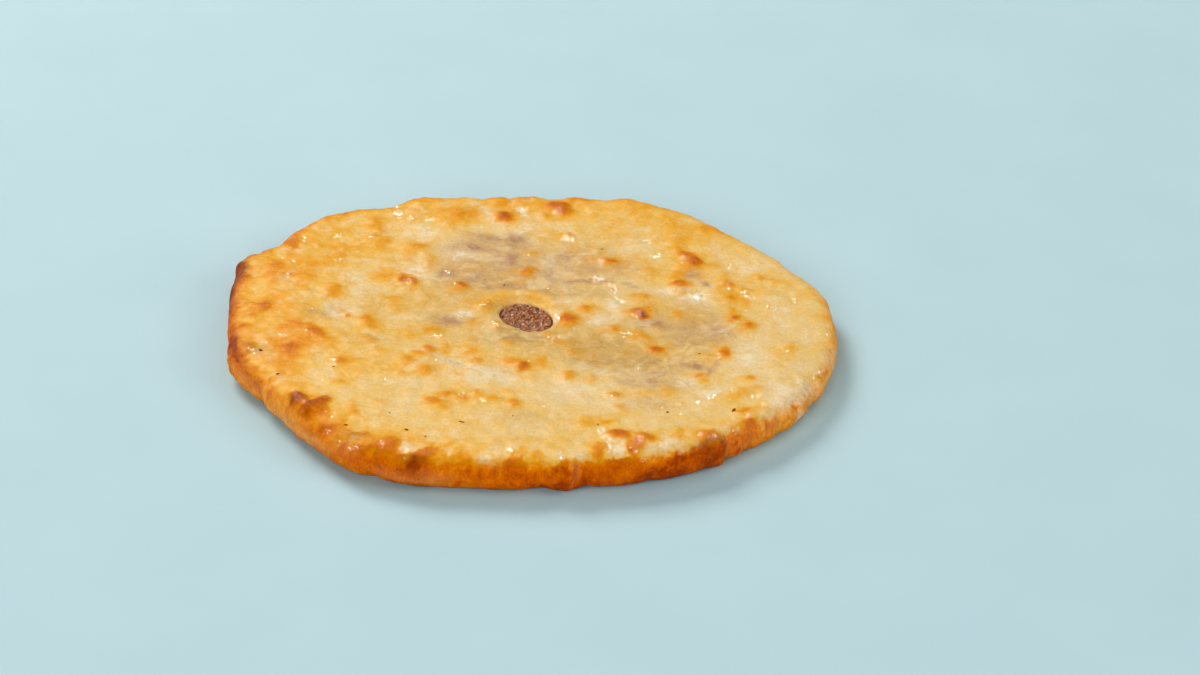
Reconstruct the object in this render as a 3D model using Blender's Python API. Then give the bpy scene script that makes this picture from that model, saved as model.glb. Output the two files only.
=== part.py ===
"""A lobiani: a round flatbread of soft dough closed round a layer of mashed beans, flattened,
baked and buttered, with one small steam vent in the middle of its top.

Lengths are in metres. The bread rests on its flat underside at z = 0, the middle of its outline
is at the origin, and its most browned stretch of rim faces -Y.

Both pieces are first turned as a plain even bread, and one smooth warp then gives them the
uneven outline, the varying height and the puffs of the real one, so the gap between them stays.
"""

import math

import bmesh
import bpy
from mathutils import Vector

MM = 0.001

# The even bread
REACH = 115.7 * MM
THICKNESS = 14.0 * MM
RIM_ROUNDING = 8.5 * MM
RIM_FULLNESS = 0.85

# The dough skins and the pocket that holds the beans
BOTTOM_SKIN = 3.0 * MM
TOP_SKIN = 2.6 * MM
POCKET_FLAT_REACH = 88.0 * MM
POCKET_NOSE = 16.0 * MM
FILLING_GAP = 0.35 * MM

# The steam vent
VENT_CENTRE = Vector((-2.0 * MM, 3.8 * MM))
VENT_RADIUS = 10.4 * MM
LIP_ROUNDING = 1.1 * MM
MASH_RISE = 0.8 * MM
MASH_LUMP = 0.35 * MM

# The vent is an oval: the turn of its long axis, its stretch, and how far out that is felt
VENT_TURN = math.radians(132.0)
VENT_STRETCH = 0.15
VENT_STRETCH_REACH = 28.0 * MM

# The skin thins towards the vent, and a puffed arc of dough stands behind it
VENT_DIP = 1.3 * MM
VENT_DIP_SPREAD = 5.0 * MM
VENT_RIDGE_RADIUS = 16.0 * MM
VENT_RIDGE_WIDTH = 2.6 * MM
VENT_RIDGE_HEIGHT = 0.8 * MM
VENT_RIDGE_TURN = math.radians(105.0)
VENT_RIDGE_SPREAD = math.radians(75.0)

# Middle of the bread to its rim, every 20 degrees anticlockwise from +X
RIM_REACHES = (
    119.9, 119.3, 113.2, 115.4, 109.4, 107.3, 114.5, 121.5, 124.5,
    118.7, 117.5, 113.4, 118.2, 109.7, 107.5, 111.3, 114.3, 117.7,
)

# Height of the rim, every 45 degrees anticlockwise from +X
RIM_HEIGHTS = (13.0, 13.0, 13.2, 13.0, 13.4, 13.8, 14.4, 13.9)

# Lobes and dents of the rim: angle in degrees, half width in degrees, reach in millimetres
RIM_LOBES = (
    (14.0, 5.0, 0.9),
    (26.0, 4.0, -1.5),
    (36.0, 4.0, 1.0),
    (69.0, 4.0, 1.7),
    (88.0, 3.0, -1.3),
    (115.0, 5.0, 1.6),
    (123.5, 3.5, -2.5),
    (137.0, 5.0, 1.5),
    (150.5, 3.5, -2.4),
    (160.0, 2.6, 3.0),
    (196.0, 4.0, 1.5),
    (206.0, 4.0, -1.5),
    (214.5, 3.0, -1.2),
    (221.0, 5.0, 1.0),
    (242.5, 3.0, -1.2),
    (274.0, 2.4, -1.6),
    (278.5, 2.6, 1.9),
    (283.0, 2.0, -0.8),
    (311.0, 2.2, 1.6),
    (317.0, 3.2, -1.1),
)

# Pleats pinched into the side of the rim: angle and half width in degrees, depth in millimetres
RIM_PLEATS = (
    (207.5, 2.2, 1.4),
    (241.5, 2.0, 1.2),
    (283.5, 2.0, 1.0),
    (295.7, 2.2, 1.1),
    (312.5, 2.4, 1.8),
    (327.0, 2.2, 0.9),
    (339.0, 2.4, 1.0),
    (151.0, 2.4, 1.2),
    (96.0, 2.2, 0.8),
)

# Broad puffs and hollows of the top: x, y, spread and height in millimetres
SWELLS = (
    (-90.0, 22.0, 24.0, 1.3),
    (-86.0, -24.0, 20.0, 1.2),
    (-62.0, -58.0, 28.0, 0.7),
    (-36.0, 84.0, 22.0, 0.7),
    (44.0, 84.0, 28.0, 0.6),
    (94.0, 30.0, 22.0, 0.8),
    (92.0, -38.0, 20.0, 0.7),
    (44.0, -88.0, 16.0, 0.9),
    (-12.0, -82.0, 26.0, 0.4),
    (-16.0, 52.0, 26.0, -0.8),
    (34.0, -26.0, 30.0, -0.7),
    (-30.0, -6.0, 16.0, -0.4),
)

# Blisters of the top: x, y, length, width in millimetres, turn in degrees, height in millimetres
BLISTERS = (
    (9.7, 94.6, 15.0, 10.0, 0.0, 1.0),
    (-13.3, 84.6, 11.0, 8.0, 20.0, 0.9),
    (-33.3, 85.6, 17.0, 9.0, 10.0, 0.7),
    (61.7, 50.6, 16.0, 9.0, 100.0, 1.0),
    (57.7, 31.6, 10.0, 8.0, 0.0, 0.7),
    (-3.3, 37.6, 11.0, 8.0, 0.0, 0.7),
    (-102.3, 29.6, 14.0, 11.0, 70.0, 0.6),
    (-78.3, 17.6, 13.0, 11.0, 90.0, 0.7),
    (-88.3, -27.4, 17.0, 13.0, 30.0, 0.9),
    (-62.3, -7.4, 10.0, 8.0, 0.0, 0.5),
    (13.7, -1.4, 10.0, 9.0, 90.0, 0.8),
    (-39.3, -42.4, 10.0, 8.0, 0.0, 0.6),
    (-0.3, -35.4, 10.0, 8.0, 0.0, 0.6),
    (15.7, -42.4, 10.0, 8.0, 90.0, 0.6),
    (-25.3, -59.4, 13.0, 8.0, 0.0, 0.6),
    (35.0, -85.0, 15.0, 9.0, 0.0, 1.6),
    (44.0, -91.0, 10.0, 9.0, 0.0, 1.3),
    (69.7, -80.0, 16.0, 11.0, 30.0, 0.9),
    (-83.0, -68.0, 17.0, 13.0, 140.0, 2.0),
    (-61.0, -80.0, 14.0, 9.0, 150.0, 0.7),
    (49.7, -54.4, 13.0, 10.0, 0.0, 0.6),
    (84.7, -49.4, 16.0, 8.0, 40.0, 0.7),
    (73.7, -22.4, 10.0, 8.0, 0.0, 0.7),
)

# How finely the bread is turned
SEGMENTS = 160
COARSE_REACH = 56.0 * MM
RING_STEP = 4.8 * MM

DOUGH_BROWN = (0.70, 0.42, 0.13, 1.0)
BEAN_BROWN = (0.17, 0.075, 0.045, 1.0)


def smooth(t):
    """0 below 0, 1 above 1, and a soft step between."""
    t = min(max(t, 0.0), 1.0)
    return t * t * (3.0 - 2.0 * t)


def angle_between(a, b):
    """The smaller turn between two angles, in radians, with its sign."""
    return (a - b + math.pi) % (2.0 * math.pi) - math.pi


def round_curve(values, angle):
    """A smooth closed curve through values spaced evenly round the turn."""
    count = len(values)
    place = (angle % (2.0 * math.pi)) / (2.0 * math.pi) * count
    first = int(place) % count
    t = place - int(place)
    a, b, c, d = (values[(first + step) % count] for step in (-1, 0, 1, 2))
    return 0.5 * (2.0 * b + (c - a) * t + (2.0 * a - 5.0 * b + 4.0 * c - d) * t**2
                  + (3.0 * b - a - 3.0 * c + d) * t**3)


def bumps_round(bumps, angle):
    """The sum of soft bumps set round the rim, in metres."""
    total = 0.0
    for degrees, half_width, size in bumps:
        away = angle_between(angle, math.radians(degrees)) / math.radians(half_width)
        total += size * MM * math.exp(-away * away)
    return total


def rim_reach(angle):
    return round_curve(RIM_REACHES, angle) * MM + bumps_round(RIM_LOBES, angle)


def swell_height(x, y):
    total = 0.0
    for swell_x, swell_y, spread, height in SWELLS:
        away = math.hypot(x - swell_x * MM, y - swell_y * MM) / (spread * MM)
        total += height * MM * math.exp(-away * away)
    return total


def blister_height(x, y):
    total = 0.0
    for blister_x, blister_y, length, width, degrees, height in BLISTERS:
        turn = math.radians(degrees)
        dx = x - blister_x * MM
        dy = y - blister_y * MM
        along = (dx * math.cos(turn) + dy * math.sin(turn)) / (0.5 * length * MM)
        across = (dy * math.cos(turn) - dx * math.sin(turn)) / (0.5 * width * MM)
        total += height * MM * math.exp(-((along * along + across * across) ** 1.2))
    return total


def vent_stretch(reach, angle):
    """How far the oval of the vent draws the dough round it outward or inward."""
    fade = math.exp(-(reach / VENT_STRETCH_REACH) ** 2)
    return 1.0 + VENT_STRETCH * fade * math.cos(2.0 * (angle - VENT_TURN))


def vent_relief(x, y):
    """The puffed arc of dough round the back of the vent, and the dip at its lip."""
    from_vent = Vector((x, y)) - VENT_CENTRE
    turn = math.atan2(from_vent.y, from_vent.x)
    distance = from_vent.length / vent_stretch(from_vent.length, turn)
    away = (distance - VENT_RIDGE_RADIUS) / VENT_RIDGE_WIDTH
    aside = angle_between(turn, VENT_RIDGE_TURN) / VENT_RIDGE_SPREAD
    ridge = VENT_RIDGE_HEIGHT * math.exp(-away * away) * math.exp(-(aside**4))
    return ridge - VENT_DIP * smooth((VENT_RADIUS + VENT_DIP_SPREAD - distance) / VENT_DIP_SPREAD)


def warp(point):
    """Where a point of the even bread lies in the real one."""
    reach = math.hypot(point.x, point.y)
    angle = math.atan2(point.y, point.x)
    outward = reach / REACH
    pleat = bumps_round(RIM_PLEATS, angle) * smooth((outward - 0.90) / 0.08)
    real_reach = reach * vent_stretch(reach, angle)
    real_reach += (rim_reach(angle) - REACH) * outward**2 - pleat
    middle = VENT_CENTRE * (1.0 - smooth(outward))
    x = middle.x + real_reach * math.cos(angle)
    y = middle.y + real_reach * math.sin(angle)

    rim_height = round_curve(RIM_HEIGHTS, angle) * MM
    height = THICKNESS + (rim_height - THICKNESS) * smooth(outward) + swell_height(x, y)
    in_top_skin = smooth((point.z - THICKNESS + TOP_SKIN) / (0.7 * TOP_SKIN))
    relief = (blister_height(x, y) + vent_relief(x, y)) * in_top_skin
    return Vector((x, y, point.z * height / THICKNESS + relief))


def rim_section():
    """The rounded side of the even bread, from its flat underside to its top."""
    points = []
    for degrees in (-90, -68, -45, -22, 0, 22, 45, 68, 90):
        turn = math.radians(degrees)
        out = math.cos(turn) ** RIM_FULLNESS if abs(degrees) < 90 else 0.0
        up = math.copysign(abs(math.sin(turn)) ** RIM_FULLNESS, turn)
        points.append((REACH - RIM_ROUNDING * (1.0 - out), THICKNESS / 2.0 * (1.0 + up)))
    return points


def pocket_section(gap):
    """The outer end of the pocket, from its ceiling to its floor, drawn in by a gap."""
    ceiling = THICKNESS - TOP_SKIN
    middle = (ceiling + BOTTOM_SKIN) / 2.0
    half_height = (ceiling - BOTTOM_SKIN) / 2.0 - gap
    points = []
    for degrees in (90, 60, 30, 0, -30, -60, -90):
        turn = math.radians(degrees)
        points.append((POCKET_FLAT_REACH + (POCKET_NOSE - gap) * math.cos(turn),
                       middle + half_height * math.sin(turn)))
    return points


def steps_between(start, end, step):
    """Evenly spaced values from start towards end, without the end itself."""
    count = max(1, round(abs(end - start) / step))
    return [start + (end - start) * n / count for n in range(count)]


def dough_profile():
    """Half the dough's section: underside, rim, top, lip of the vent, then the pocket's walls."""
    top_edge = REACH - RIM_ROUNDING
    lip_edge = VENT_RADIUS + LIP_ROUNDING
    ceiling = THICKNESS - TOP_SKIN
    profile = [(0.0, 0.0), (COARSE_REACH, 0.0)]
    profile += rim_section()
    profile += [(reach, THICKNESS) for reach in steps_between(top_edge, lip_edge, RING_STEP)[1:]]
    for degrees in (90, 55, 20):
        turn = math.radians(degrees)
        profile.append((lip_edge - LIP_ROUNDING * math.cos(turn),
                        THICKNESS - LIP_ROUNDING * (1.0 - math.sin(turn))))
    profile += [(VENT_RADIUS, ceiling), (COARSE_REACH * 0.5, ceiling), (COARSE_REACH, ceiling)]
    profile += pocket_section(0.0)
    profile += [(COARSE_REACH, BOTTOM_SKIN), (0.0, BOTTOM_SKIN)]
    return profile


def filling_profile():
    """Half the filling's section, a gap inside the pocket's walls."""
    floor = BOTTOM_SKIN + FILLING_GAP
    top = THICKNESS - TOP_SKIN - FILLING_GAP
    profile = [(0.0, floor), (COARSE_REACH, floor)]
    profile += reversed(pocket_section(FILLING_GAP))
    profile += [(COARSE_REACH, top), (COARSE_REACH * 0.5, top)]
    profile += [(reach, top) for reach in steps_between(VENT_RADIUS, 0.0, VENT_RADIUS / 4.0)]
    profile.append((0.0, top))
    return profile


def turned(profile, is_coarse):
    """A mesh spun from a profile, with every second spoke left out where it may be coarse."""
    bm = bmesh.new()
    line = [bm.verts.new((reach, 0.0, height)) for reach, height in profile]
    edges = [bm.edges.new(pair) for pair in zip(line, line[1:])]
    bmesh.ops.spin(bm, geom=line + edges, cent=(0.0, 0.0, 0.0), axis=(0.0, 0.0, 1.0),
                   angle=2.0 * math.pi, steps=SEGMENTS, use_merge=True)
    bmesh.ops.remove_doubles(bm, verts=bm.verts[:], dist=0.01 * MM)

    spokes = {}
    for vert in bm.verts:
        reach = math.hypot(vert.co.x, vert.co.y)
        spoke = round(math.atan2(vert.co.y, vert.co.x) / (2.0 * math.pi) * SEGMENTS) % SEGMENTS
        if reach > MM and is_coarse(reach, vert.co.z):
            spokes[round(reach / MM, 3), round(vert.co.z / MM, 3), spoke] = vert
    partners = {}
    for (reach, height, spoke), vert in spokes.items():
        if spoke % 2:
            partners[vert] = spokes[reach, height, spoke - 1]
    bmesh.ops.weld_verts(bm, targetmap=partners)
    return bm


def part_object(name, bm, colour, roughness):
    """A finished piece: closed, smooth, facing outward, with its own material."""
    bmesh.ops.triangulate(bm, faces=bm.faces[:], quad_method="SHORT_EDGE")
    bmesh.ops.recalc_face_normals(bm, faces=bm.faces[:])
    mesh = bpy.data.meshes.new(name)
    bm.to_mesh(mesh)
    bm.free()
    mesh.shade_smooth()

    material = bpy.data.materials.new(name)
    material.use_nodes = True
    shader = material.node_tree.nodes["Principled BSDF"]
    shader.inputs["Base Color"].default_value = colour
    shader.inputs["Roughness"].default_value = roughness
    shader.inputs["Metallic"].default_value = 0.0
    mesh.materials.append(material)

    piece = bpy.data.objects.new(name, mesh)
    bpy.context.scene.collection.objects.link(piece)
    return piece


def make_dough():
    """The bread itself: one closed piece of dough, open only at the vent."""
    def is_coarse(reach, height):
        on_underside = height < 0.5 * BOTTOM_SKIN
        on_top = height > THICKNESS - TOP_SKIN + 0.1 * MM
        if on_underside or on_top:
            return reach < COARSE_REACH + RING_STEP / 2.0
        return reach < POCKET_FLAT_REACH + POCKET_NOSE + 0.1 * MM

    bm = turned(dough_profile(), is_coarse)
    for vert in bm.verts:
        vert.co = warp(vert.co)
    return part_object("dough", bm, DOUGH_BROWN, 0.45)


def make_filling():
    """The layer of mashed beans, which runs through the bread and shows at the vent."""
    bm = turned(filling_profile(), lambda reach, height: True)
    for vert in bm.verts:
        reach = vert.co.to_2d().length
        turn = math.atan2(vert.co.y, vert.co.x)
        on_show = vert.co.z > THICKNESS / 2.0 and reach < 0.9 * VENT_RADIUS
        lump = 0.0
        if on_show:
            lump = MASH_LUMP * math.sin(5.0 * turn + reach / MM) * math.sin(reach / MM) + MASH_RISE
        vert.co = warp(vert.co) + Vector((0.0, 0.0, lump))
    return part_object("bean_filling", bm, BEAN_BROWN, 0.8)


def main():
    for old in list(bpy.data.objects):
        bpy.data.objects.remove(old)
    make_dough()
    make_filling()


main()
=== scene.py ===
"""The finished look of a lobiani: blistered buttered dough round a bean mash that shows at the vent.

Everything about the bread is given in millimetres, in its own frame: the bread rests on z = 0,
the middle of its outline is at the origin and its most browned stretch of rim faces -Y.
"""

import math

import bmesh
import bpy
import numpy as np
from mathutils import Matrix, Vector, noise
from mathutils.bvhtree import BVHTree


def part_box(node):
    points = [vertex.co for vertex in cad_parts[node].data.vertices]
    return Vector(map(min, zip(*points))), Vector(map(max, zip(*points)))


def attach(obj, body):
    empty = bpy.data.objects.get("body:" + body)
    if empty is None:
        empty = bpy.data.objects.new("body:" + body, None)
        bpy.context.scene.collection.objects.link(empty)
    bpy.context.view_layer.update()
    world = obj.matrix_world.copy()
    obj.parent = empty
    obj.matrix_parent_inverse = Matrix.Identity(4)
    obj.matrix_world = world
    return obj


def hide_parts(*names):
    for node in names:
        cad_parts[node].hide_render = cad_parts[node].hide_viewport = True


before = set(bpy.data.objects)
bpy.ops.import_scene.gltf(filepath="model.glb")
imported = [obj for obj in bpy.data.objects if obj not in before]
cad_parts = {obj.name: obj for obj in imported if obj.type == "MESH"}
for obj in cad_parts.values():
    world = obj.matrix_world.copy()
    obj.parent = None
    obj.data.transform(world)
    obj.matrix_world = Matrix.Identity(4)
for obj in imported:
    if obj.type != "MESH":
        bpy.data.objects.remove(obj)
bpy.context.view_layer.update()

MM = 0.001

# The even bread, before its outline and height are made uneven
REACH = 115.7
THICKNESS = 14.0
RIM_ROUNDING = 8.5
RIM_FULLNESS = 0.85
BOTTOM_SKIN = 3.0
TOP_SKIN = 2.6
POCKET_FLAT_REACH = 88.0
POCKET_NOSE = 16.0
FILLING_GAP = 0.35

# The steam vent, and the puffed arc of dough behind it
VENT_CENTRE = (-2.0, 3.8)
VENT_RADIUS = 10.4
VENT_TURN = 132.0
VENT_STRETCH = 0.15
VENT_STRETCH_REACH = 28.0
LIP_ROUNDING = 1.1
VENT_DIP = 1.3
VENT_DIP_SPREAD = 5.0
RIDGE_RADIUS = 16.0
RIDGE_WIDTH = 2.6
RIDGE_HEIGHT = 0.8
RIDGE_TURN = 105.0
RIDGE_SPREAD = 75.0

# Middle of the bread to its rim every 20 degrees, and the rim's height every 45, from +X to +Y
RIM_REACHES = (
    119.9, 119.3, 113.2, 115.4, 109.4, 107.3, 114.5, 121.5, 124.5, 118.7, 117.5, 113.4, 118.2, 109.7,
    107.5, 111.3, 114.3, 117.7,
)
RIM_HEIGHTS = (13, 13, 13.2, 13, 13.4, 13.8, 14.4, 13.9)

# Lobes and dents of the rim: angle, half width in degrees, reach
RIM_LOBES = (
    (14, 5, 0.9), (26, 4, -1.5), (36, 4, 1), (69, 4, 1.7), (88, 3, -1.3), (115, 5, 1.6),
    (123.5, 3.5, -2.5), (137, 5, 1.5), (150.5, 3.5, -2.4), (160, 2.6, 3), (196, 4, 1.5), (206, 4, -1.5),
    (214.5, 3, -1.2), (221, 5, 1), (242.5, 3, -1.2), (274, 2.4, -1.6), (278.5, 2.6, 1.9),
    (283, 2, -0.8), (311, 2.2, 1.6), (317, 3.2, -1.1),
)

# Pleats pinched into the rim's side: angle, half width in degrees, depth
RIM_PLEATS = (
    (207.5, 2.2, 1.4), (241.5, 1.6, 1.3), (278, 0.7, 0.7), (283.5, 1.2, 1), (295.7, 1.8, 1.1),
    (312.5, 1.6, 1.8), (319, 0.9, 0.6), (327, 1.4, 0.9), (339, 2, 1), (151, 2.4, 1.2), (96, 1.6, 0.8),
)

# Stretches of the rim's side that are drawn into folds: angle, half width in degrees, amount
RIM_FOLDS = (
    (160, 6, 0.4), (196, 8, 0.6), (222, 14, 0.3), (245, 6, 0.3), (280, 14, 0.4), (300, 8, 0.3),
    (318, 9, 0.9), (335, 9, 0.8),
)

# Broad puffs and hollows of the top: x, y, spread, height
SWELLS = (
    (-90, 22, 24, 1.3), (-86, -24, 20, 1.2), (-62, -58, 28, 0.7), (-36, 84, 22, 0.7), (44, 84, 28, 0.6),
    (94, 30, 22, 0.8), (92, -38, 20, 0.7), (44, -88, 16, 0.9), (-12, -82, 26, 0.4), (-16, 52, 26, -0.8),
    (34, -26, 30, -0.7), (-30, -6, 16, -0.4),
)

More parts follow.
